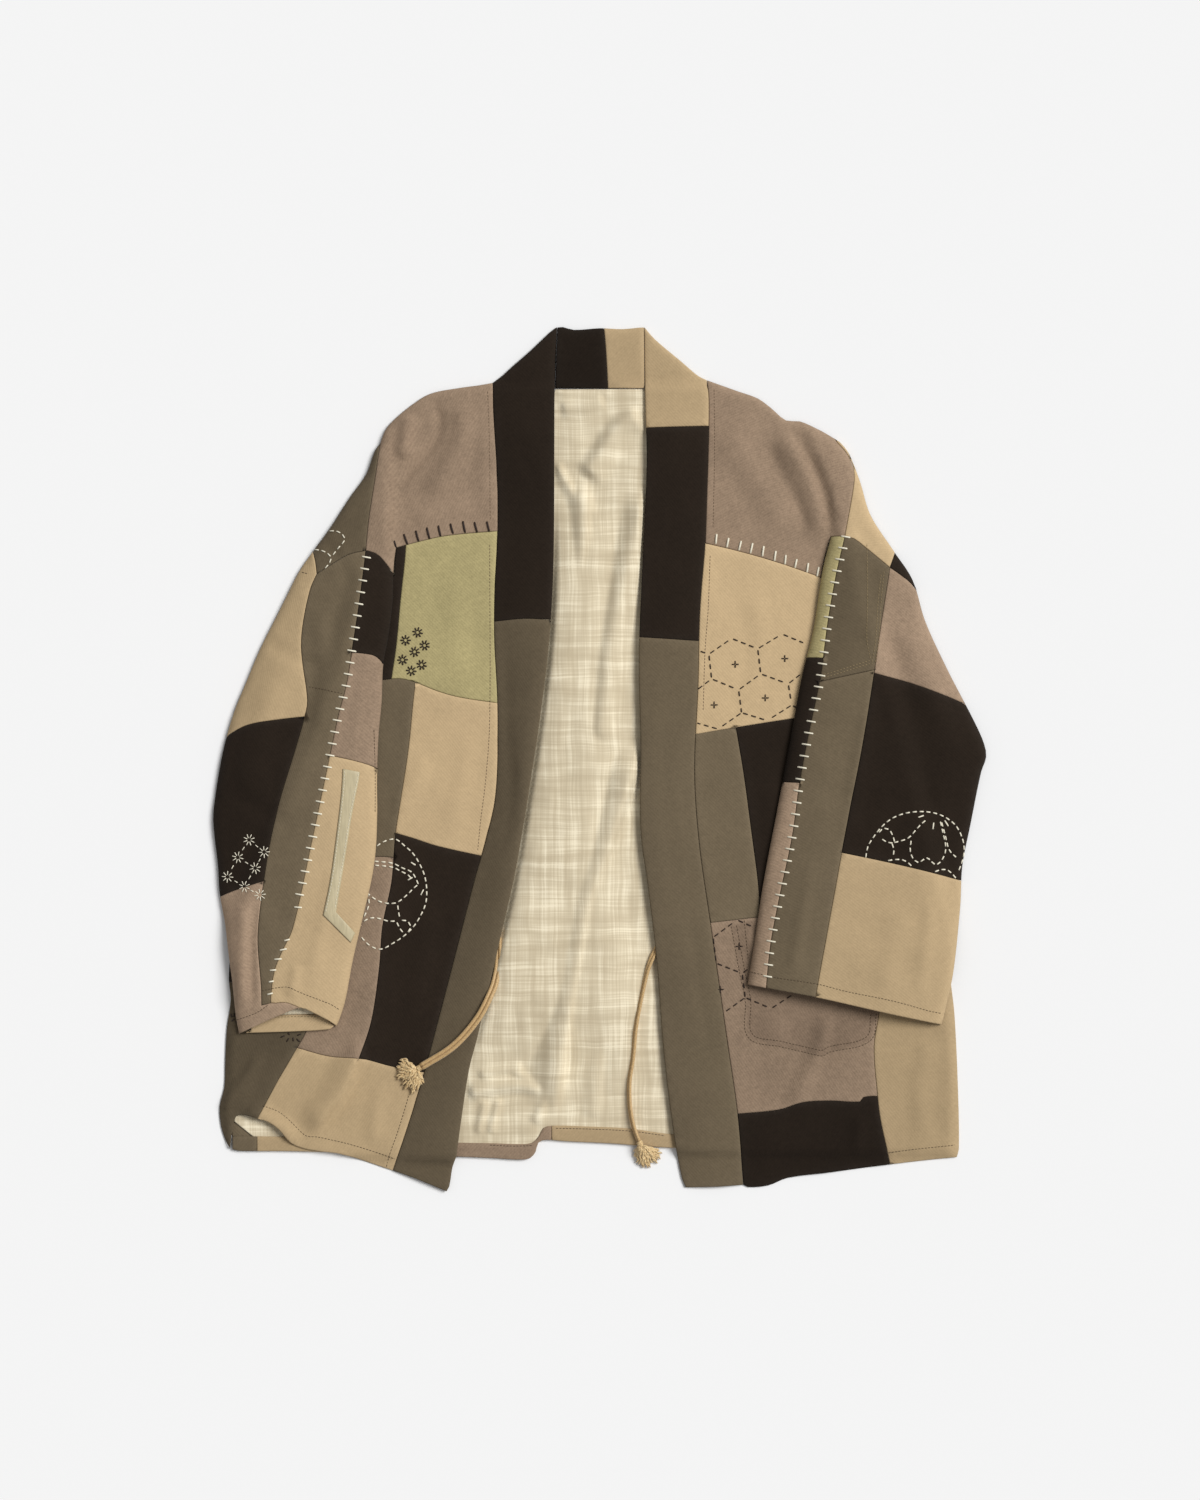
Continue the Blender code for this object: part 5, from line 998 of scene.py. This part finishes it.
RIGHT_FRONT_FOLDS = [
    ([(828, 1006), (825, 1034), (818, 1056), (804, 1084), (792, 1112)], 4.4, 10, 18),
    ([(860, 1112), (858, 1130), (855, 1154)], 2.0, 10, 10),
    ([(770, 1016), (780, 1050)], 1.8, 20, 20),
    ([(770, 770), (774, 840), (780, 900)], 1.4, 18, 18),
    ([(930, 1030), (920, 1090), (924, 1150)], 1.6, 16, 16),
    ([(750, 580), (760, 640), (752, 710)], 1.2, 18, 18),
    ([(740, 930), (770, 960), (800, 1000)], 1.4, 14, 14),
]
RIGHT_SHOULDER_FOLDS = [
    ([(776, 424), (792, 450), (808, 480), (818, 512), (821, 546)], 6.0, 10, 20),
    ([(722, 420), (744, 460), (768, 500), (786, 540)], 3.4, 20, 26),
    ([(762, 436), (778, 470), (798, 508), (808, 540)], -1.8, 9, 9),
    ([(829, 437), (831, 475), (829, 500), (830, 535)], -2.4, 4, 6),
    ([(836, 444), (835, 462), (838, 478)], 1.6, 4, 4),
]
RIGHT_SILHOUETTE = curve(RIGHT_SHOULDER) + curve(RIGHT_SLEEVE_OUTER)
RIGHT_SIDE = curve(RIGHT_SIDE_SHOWN) + curve(RIGHT_SIDE_HIDDEN)
RIGHT_CREASE = [(800, 420), (807, 446), (818.6, 473), (826.3, 498), (829.4, 521), (830.6, 540), (822, 580)]
UNDER_RIGHT_SLEEVE = [(700, 545), (700, 1060), (957, 1060), (951, 984), (945, 950), (930, 886), (907, 800),
                      (884, 706), (866, 640), (852, 600), (838, 545)]
RIGHT_SLEEVE_FOLDS = [
    ([(902, 620), (930, 690), (950, 742)], 3.4, 22, 24),
    ([(872, 690), (858, 770), (846, 850)], 2.0, 14, 14),
    ([(900, 900), (888, 950), (880, 996)], 1.6, 20, 20),
    ([(940, 790), (915, 800), (880, 802)], -1.4, 12, 12),
    ([(930, 890), (925, 940), (916, 1004)], 1.6, 12, 12),
    ([(812, 860), (800, 920), (790, 980)], 1.4, 10, 10),
    ([(866, 546), (867, 600), (866, 655)], 0.7, 4, 4),
]

right_front_height = front_height(RIGHT_SIDE, RIGHT_FRONT_FOLDS, 9.1)
right_sleeve_height = sleeve_height(UNDER_RIGHT_SLEEVE, RIGHT_SILHOUETTE, RIGHT_SLEEVE_INNER,
                                    RIGHT_SLEEVE_FOLDS, 6.6)
right_shoulder_height = shoulder_height(RIGHT_CREASE, RIGHT_SILHOUETTE, RIGHT_SHOULDER_FOLDS,
                                        right_sleeve_height, 1, 4.8)
right_shoulder = Panel(joined([RIGHT_SHOULDER, [(706.8, 380.4), (708.6, 400), (707.8, 457), (705, 543.6)],
                               [(705, 543.6), (736.3, 551), (775, 562), (820.4, 577.6)],
                               [(820.4, 577.6), (826.3, 549.6), (830.6, 537)], [(830.6, 537), (843.6, 537.2)],
                               [(843.6, 537.2), (852, 492), (853.6, 473), (847.3, 454), (834, 438.6)]]), step=4.5)
lay("right_front_mauve_shoulder", right_shoulder, [(750, 480)], right_shoulder_height, OUTER_CLOTH,
    brushed_twill("right_shoulder_twill", MAUVE, 110, 0.96))
POCKET_MARK = [(731, 926), (739, 970), (745, 1000), (748, 1037), (780, 1046), (815, 1054), (823, 1055), (828, 1052),
               (870, 1040), (876, 1013), (878, 960), (882, 906), (820, 909), (757, 918)]


def pocket_mark(x, y):
    """1 where the pocket kept the cloth from fading."""
    return 0.55 * soft((inside_by(POCKET_MARK, x, y) + 1.5) / 3)


right_front = Panel(
    joined([[(705, 543.6), (699.6, 612), (697.7, 686), (694.2, 772), (699, 844), (710, 922), (726.8, 1040),
             (737.3, 1113.4), (743.2, 1184.6)], RIGHT_FRONT_HEM, RIGHT_SIDE_SHOWN, RIGHT_SIDE_HIDDEN,
            [(848, 596), (838, 589), (826, 583.5), (820.4, 577.6)],
            [(820.4, 577.6), (775, 562), (736.3, 551), (705, 543.6)]]),
    [[(692, 735), (735.5, 727.5), (792, 718.6), (840, 712), (890, 708)],
     [(735.5, 727), (743.4, 774), (751.3, 833), (757.4, 880), (760.5, 917)],
     [(705, 923), (757, 917), (830, 908), (890, 905.5)],
     [(938, 900), (888, 905.8), (886, 950), (878.6, 1012), (873.4, 1046), (877, 1095.5), (879.7, 1118),
      (886.4, 1149), (890.6, 1168)],
     [(733, 1113.6), (779, 1109), (801.6, 1101.8), (830, 1100.2), (859.6, 1101), (863, 1096.6), (877, 1095.5)]],
    fine=((722, 912), (886, 1064), 2.6))
for name, seed, colour, grain, tone, mark in (
        ("hexagon_beige", (750, 640), BEIGE, 4, 1.17, None), ("olive", (720, 830), OLIVE, 0, 1.0, None),
        ("dark", (800, 820), DARK, 0, 1.0, None), ("pocket_mauve", (800, 980), MAUVE, 10, 0.84, pocket_mark),
        ("dark_hem", (800, 1140), DARK, 85, 0.85, None), ("beige_side", (920, 1060), BEIGE, 6, 0.83, None)):
    lay("right_front_" + name, right_front, [seed], right_front_height, OUTER_CLOTH,
        brushed_twill(f"right_front_{name}_twill", colour, grain, tone), mark=mark)
SHOULDER_STITCHES = [[(716.5, 534), (715.5, 544.5)], [(728.5, 538), (726.5, 548)], [(741, 541), (738.5, 551)],
                     [(752.5, 543), (750, 554)], [(763.5, 546), (762, 557)], [(775.5, 551), (774, 561.5)],
                     [(785.5, 555), (784.5, 565)], [(796.5, 559), (794.5, 568.5)], [(808, 563), (806.5, 573)],
                     [(818.5, 567), (816.5, 577)]]
sew("right_shoulder_stitches", SHOULDER_STITCHES, right_shoulder_height, 2.0, cream_thread, 6)
HEXAGONS = [
    [(699, 651), (708.8, 654.4), (731.5, 638.6), (757.5, 649), (781.9, 634.2), (803, 643)],
    [(708.8, 654.4), (711.5, 679), (738.5, 690), (760.5, 674), (788, 684), (802, 673)],
    [(757.5, 649), (760.5, 674)], [(697, 690), (711.5, 679)], [(738.5, 690), (741.4, 712.7), (767, 720.6)],
    [(788, 684), (791.5, 705), (767, 720.6)], [(741.4, 712.7), (718, 729), (697, 723)], [(791.5, 705), (799, 710)],
    [(713, 937), (737, 919.5), (756, 928)], [(713, 937), (716, 962.7), (742, 973), (750, 967)],
    [(742, 973), (745, 997), (724, 1012)], [(745, 997), (771, 1008), (791, 995)],
]
HEXAGON_CENTRES = [(735, 664.5), (784.5, 658.7), (714, 705), (765, 698), (739, 946), (720, 989)]
sew("hexagon_stitches", straight(HEXAGONS, 5.5, 3, 1.2)
    + [stitch for x, y in HEXAGON_CENTRES for stitch in flower(x, y, 0.3, 3.6, 4)],
    right_front_height, 1.3, brown_thread)
pocket_lines = [POCKET_MARK[:10], shifted(curve(POCKET_MARK[:10]), 5.4), [(744, 920), (748, 960)]]
machine("pocket_stitch_holes", pocket_lines, right_front_height, umber_thread)
machine("right_front_topstitching", [[(888, 1152), (915, 1148.5), (958, 1144)]], right_front_height, umber_thread)
machine("right_band_seam_topstitching", [[(710, 556), (708, 610), (705, 650), (703, 712)]], right_front_height,
        faded_thread)
machine("right_shoulder_topstitching", [[(714, 390), (714.5, 450), (713, 530)]], right_shoulder_height, faded_thread)


# Left sleeve: a wide sleeve folded down over the front. Its upper layer is pieced from eight patches,
# with a strip of satin tape and hand stitching; the lower layer shows at the cuff with its facing.

left_sleeve = Panel(
    joined([LEFT_SLEEVE_OUTER,
            [(240, 1033), (262, 1022.6), (281, 1014.2), (302.4, 1006.4), (312, 1010), (320.8, 1014.5),
             (330.5, 1020), (337.8, 1025.6)], LEFT_SLEEVE_INNER,
            [(393.8, 574), (384, 561), (376, 554), (366.5, 551.5)],
            [(366.5, 551.5), (369.5, 520), (375.4, 480), (380.5, 443.5)]]),
    [[(366.5, 551.5), (361, 599.5), (352.9, 653), (347.6, 686), (339.7, 716), (330.3, 760.5),
      (313, 842.6), (294.3, 927.6), (284, 949.7), (276, 970), (272.4, 997), (272.6, 1001.5),
      (282.5, 1001), (290, 1001.6), (305, 1008)],
     [(317.6, 574.4), (311, 590), (303.4, 628), (302.6, 653), (308.5, 700.5), (305.8, 716.8),
      (295.5, 752.6), (279.7, 806), (268.7, 860), (261.2, 916), (259.7, 942), (263, 985), (263.4, 1004)],
     [(370, 551), (350, 555), (330, 566.5), (317.6, 574.4)], [(317.6, 574.4), (316, 562), (312.4, 549)],
     [(352.5, 652.8), (373.7, 655.5), (380, 659.5), (387, 668)],
     [(331.1, 755.3), (358, 761.3), (374.5, 766.8), (381, 772)],
     [(222, 742), (230, 734.5), (249, 725), (279, 719.8), (306.2, 716.7)],
     [(216, 898.6), (234, 890.7), (264.8, 880.4), (266.2, 880)], [(263.4, 1004), (272.6, 1001.5)]], step=4.5)
for name, seeds, colour, grain, tone in (
        ("olive_top", [(350, 520)], OLIVE, 60, 0.78), ("beige", [(270, 670)], BEIGE, 25, 0.93),
        ("dark", [(250, 800)], DARK, 10, 1.0), ("mauve_cuff", [(245, 950)], MAUVE, 0, 1.08),
        ("olive_strip", [(310, 800)], OLIVE, 12, 0.94), ("inner_dark", [(375, 620)], DARK, 5, 1.0),
        ("inner_mauve", [(360, 710)], MAUVE, 5, 0.89), ("inner_beige", [(335, 990)], BEIGE, 8, 1.03)):
    lay("left_sleeve_" + name, left_sleeve, seeds, left_sleeve_height, OUTER_CLOTH,
        brushed_twill(f"left_sleeve_{name}_twill", colour, grain, tone))


def left_under_height(x, y):
    return sleeve_rest(x, y, UNDER_LEFT_SLEEVE) + UNDER_SLEEVE


left_under = Panel(joined([[(242.6, 1032.4), (252, 1028.4), (249.6, 1012), (244, 960), (236, 920), (229.5, 868),
                            (225, 822), (232, 756), (243, 716), (257, 683), (272, 650), (298, 600), (322, 585),
                            (372, 585), (381, 600), (376.5, 640), (372, 690), (367, 760), (367, 812), (364.6, 860),
                            (353, 914), (340, 965), (332, 1000), (325, 1013), (334.8, 1025.2)],
                           [(334.8, 1025.2), (331, 1028.4), (300, 1030.6), (242.6, 1032.4)]]),
                   [[(246, 1016.4), (281, 1014.6), (318, 1013.4), (336, 1013)]], step=9)
lay("left_sleeve_under", left_under, [(300, 900), (290, 1024)], left_under_height, UNDER_SLEEVE,
    brushed_twill("left_sleeve_under_twill", BEIGE, 8, 0.95))
lay("left_sleeve_cuff_facing", left_under, [(290, 1024)], left_under_height, LINING_CLOTH,
    brushed_twill("cuff_facing_twill", BEIGE, 88, 0.98),
    lift=SEAM_GAP + LINING_CLOTH)
lay("left_sleeve_cuff_lining", Panel([(262, 1015), (262, 1000), (318, 1000), (318, 1013)]), [(290, 1008)],
    left_under_height, LINING_CLOTH, natural_cotton, lift=SEAM_GAP + LINING_CLOTH)


def satin(name, colour):
    """Satin ribbon: polished floats that run one way and catch a soft highlight."""
    material = bpy.data.materials.new(name)
    material.use_nodes = True
    tree = material.node_tree
    shader = tree.nodes["Principled BSDF"]
    place = add_node(tree, "TexCoord")
    stretched = add_node(tree, "Mapping", {"Scale": (900, 60, 900), "Rotation": (0, 0, math.radians(-8))},
                         {"Vector": (place, "Object")})
    floats = add_node(tree, "TexNoise", {"Scale": 1.0, "Detail": 2.0}, {"Vector": (stretched, 0)})
    tint = add_node(tree, "ValToRGB", (), {"Fac": (floats, "Fac")})
    tint.color_ramp.elements[0].position, tint.color_ramp.elements[1].position = 0.35, 0.65
    tint.color_ramp.elements[0].color = [c * 0.85 for c in linear(colour)[:3]] + [1]
    tint.color_ramp.elements[1].color = linear(colour)
    tree.links.new(tint.outputs["Color"], shader.inputs["Base Color"])
    shader.inputs["Roughness"].default_value = 0.42
    shader.inputs["Specular IOR Level"].default_value = 0.35
    return material


tape = Panel(joined([[(344.5, 768.4), (343, 794), (338.6, 831.6), (332, 880), (325, 914)], [(325, 914), (352, 942)],
                     [(352, 942), (356.4, 932)], [(356.4, 932), (338, 911)],
                     [(338, 911), (347, 857), (354, 812.6), (360.7, 778.7), (361.4, 771.6)],
                     [(361.4, 771.6), (344.5, 768.4)]]), step=4)
lay("left_sleeve_tape", tape, [(350, 785)], left_sleeve_height, TAPE_CLOTH, satin("pale_satin_ribbon", "#bfb290"),
    lift=SEAM_GAP + TAPE_CLOTH, rim=0.3)

machine("left_sleeve_tape_stitching", [[(346.4, 771), (344.8, 794), (340.4, 831.6), (333.8, 880), (327.4, 912)],
                                       [(359.6, 774), (358.8, 780), (352.2, 812), (345.2, 856), (336.6, 908)]],
        left_sleeve_height, cream_thread, lift=SEAM_GAP + TAPE_CLOTH)

LEFT_SEAM_STITCHES = [[(295.8, 906), (304, 906.6)], [(286, 939.5), (292, 938)], [(281.5, 949), (289, 947.5)],
                      [(276, 958), (284, 957.5)], [(271.5, 969), (278.5, 968.5)], [(270.5, 980.5), (276, 979.5)],
                      [(269, 993), (275, 991.5)]]
sew("left_sleeve_seam_stitches",
    crossing([(367.3, 558), (361, 599.5), (352.9, 653), (347.6, 686), (339.7, 716), (330.3, 760.5), (311.5, 850.2),
              (300, 900)], 11.8, 9.6, 10) + LEFT_SEAM_STITCHES, left_sleeve_height, 1.7, cream_thread, 6)
LATTICE = [(250.5, 839.5), (266, 851.5), (239, 857), (257, 867.5), (228.5, 876.5), (246, 886), (262, 894)]
lattice_links = [(a, b) for i, a in enumerate(LATTICE) for b in LATTICE[i + 1:] if math.dist(a, b) < 23]
lattice_dashes = [[tuple(np.add(np.multiply(a, 1 - s), np.multiply(b, s))) for s in (0.4, 0.6)] for a, b in lattice_links]
sew("left_sleeve_flowers", [stitch for x, y in LATTICE for stitch in flower(x, y, 1.7, 6.0, 8, x)] + lattice_dashes,
    left_sleeve_height, 0.95, cream_thread)
sew("left_sleeve_arcs", dashes([(330, 531.5), (338, 532), (344, 536), (345.5, 541), (338, 550), (332, 558)], 4.6, 2.4)
    + dashes([(315, 550), (325, 552), (332, 558.5), (328, 567), (323, 571.5)], 4.6, 2.4),
    left_sleeve_height, 1.3, cream_thread)
machine("left_sleeve_stitching",
        [[(375, 730), (376, 770), (376, 812)], [(302.5, 572.5), (310, 574.7)], [(310, 687), (326, 690), (344, 694)],
         [(238, 1019), (248, 1015.5), (260, 1010.5), (270, 1003.5)],
         [(264, 989.5), (272, 987.5), (285, 985.5), (292, 986), (300, 990), (312, 995), (325, 1000), (334, 1004),
          (341, 1009)]],
        left_sleeve_height, umber_thread)
machine("left_cuff_facing_stitching", [[(262, 1017), (290, 1016), (318, 1015.5), (334, 1015.5)]], left_under_height,
        tan_thread, lift=SEAM_GAP + LINING_CLOTH)


# Right sleeve: the same on the other side, pieced from ten patches. One olive length was cut from old
# trousers and keeps part of their felled seam.

right_sleeve = Panel(
    joined([RIGHT_SLEEVE_OUTER, [(747, 984), (766, 987), (815, 996), (875, 1009.6), (941, 1024)],
            RIGHT_SLEEVE_INNER, [(830.6, 537), (843.6, 537.2)],
            [(843.6, 537.2), (852, 492), (853.6, 473), (847.3, 454), (834, 438.6)]]),
    [[(843.6, 537.2), (835, 574.5), (826.4, 623.7), (819.5, 675), (805.7, 742), (798.3, 783),
      (790.8, 837), (778.2, 897), (769.2, 946), (764.8, 990)],
     [(889, 568), (883.7, 600), (875.8, 649), (869, 695), (859, 754), (847.2, 813.5),
      (836.3, 873), (826.2, 928), (816, 984), (813.6, 1000)],
     [(843.6, 537.2), (853, 539.6), (862.6, 546.7), (889, 568)],
     [(896.6, 546.5), (893.4, 556), (889, 568)],
     [(889, 568), (901, 576.4), (910.5, 584), (922, 598)],
     [(817.6, 682.2), (846, 676), (873.1, 670.2)],
     [(802, 657.8), (822, 658.2)],
     [(778, 781.8), (798.8, 782.6)],
     [(871.8, 673.5), (907.5, 683), (947, 697), (966, 705)],
     [(839.8, 851.9), (887.7, 862), (930, 872), (966, 882)]], step=4.5)
for name, seed, colour, grain, tone in (
        ("beige_top", (865, 520), BEIGE, 120, 1.05), ("dark_bit", (899, 566), DARK, 0, 1.0),
        ("mauve", (910, 650), MAUVE, 170, 0.97), ("dark", (920, 760), DARK, 170, 1.0),
        ("beige_cuff", (880, 940), BEIGE, 172, 0.93), ("olive_upper", (855, 600), OLIVE, 170, 0.81),
        ("olive_lower", (830, 800), OLIVE, 170, 0.95), ("green", (830, 570), GREEN, 170, 1.0),
        ("inner_dark", (804, 720), DARK, 172, 1.0), ("inner_mauve", (775, 880), MAUVE, 172, 1.07)):
    lay("right_sleeve_" + name, right_sleeve, [seed], right_sleeve_height, OUTER_CLOTH,
        brushed_twill(f"right_sleeve_{name}_twill", colour, grain, tone))


def right_under_height(x, y):
    return sleeve_rest(x, y, UNDER_RIGHT_SLEEVE) + UNDER_SLEEVE


right_under = Panel(joined([[(760, 978), (764, 944), (774, 885), (788, 808), (800, 750), (812, 680), (824, 632),
                             (834, 600), (846, 590), (884, 590), (904, 612), (930, 676), (958, 732), (971, 758),
                             (956, 827), (950, 866), (948, 908), (941, 970), (932, 1016)],
                            [(932, 1016), (875, 1003.6), (815, 990), (760, 978)]]), step=9)
lay("right_sleeve_under", right_under, [(850, 850)], right_under_height, UNDER_SLEEVE,
    brushed_twill("right_sleeve_under_twill", BEIGE, 172, 0.95))

sew("right_sleeve_seam_stitches",
    crossing([(844.4, 537.8), (835, 574.5), (826.4, 623.7), (819.5, 675), (805.7, 742), (798.3, 783), (790.8, 837),
              (778.2, 897), (769.2, 946), (766, 984)], 11.7, 9.8, 9), right_sleeve_height, 1.7, cream_thread,
    6)
RIGHT_BALL = [
    [(864, 857), (866, 846), (872, 836), (880, 826), (890, 818), (901, 813.5), (912, 811.5), (925, 811.5), (937, 814),
     (947, 819), (955, 826), (960, 835), (963, 845), (963, 856), (958, 870)],
    [(877, 832), (881, 828), (887, 829), (891, 836), (892, 842), (884, 841), (878, 837)],
    [(892, 842), (900, 840), (907, 837), (914, 829), (922, 821), (928, 818)],
    [(909, 840), (908, 850), (911, 858), (916, 862), (921, 859), (926, 857), (930, 862), (935, 864), (940, 860),
     (944, 852), (944, 843), (942, 835), (938, 818)],
    [(940, 822), (944, 836), (948, 850), (955, 857)],
    [(890, 843), (892, 850), (891, 856)],
    [(886, 860), (892, 859), (900, 859), (906, 862), (911, 867)],
    [(933, 871), (940, 869), (947, 870), (955, 878)],
]
RIGHT_BALL_KNOTS = [[(916, 817), (922, 815)], [(943, 820), (947, 826)], [(932, 822), (931, 829)]]
sew("right_ball_stitches", [stitch for line in RIGHT_BALL for stitch in dashes(line, 4.6, 2.4)] + RIGHT_BALL_KNOTS,
    right_sleeve_height, 1.5, cream_thread)
machine("right_sleeve_stitching",
        [[(750, 971), (776, 976.5), (800, 980), (818, 983), (845, 990), (885, 998), (905, 1003), (925, 1009),
          (941, 1012.5)]], right_sleeve_height, umber_thread)
machine("trouser_seam_stitching",
        [[(866, 545), (866, 600), (865, 640), (869, 660)], [(883, 572), (880, 600), (877, 640), (873, 665)],
         [(880, 575), (877, 600), (874, 640), (870, 665)], [(822, 678), (835, 674.5), (868, 664)],
         [(822, 675), (835, 671.5), (868, 661)]], right_sleeve_height, tan_thread)
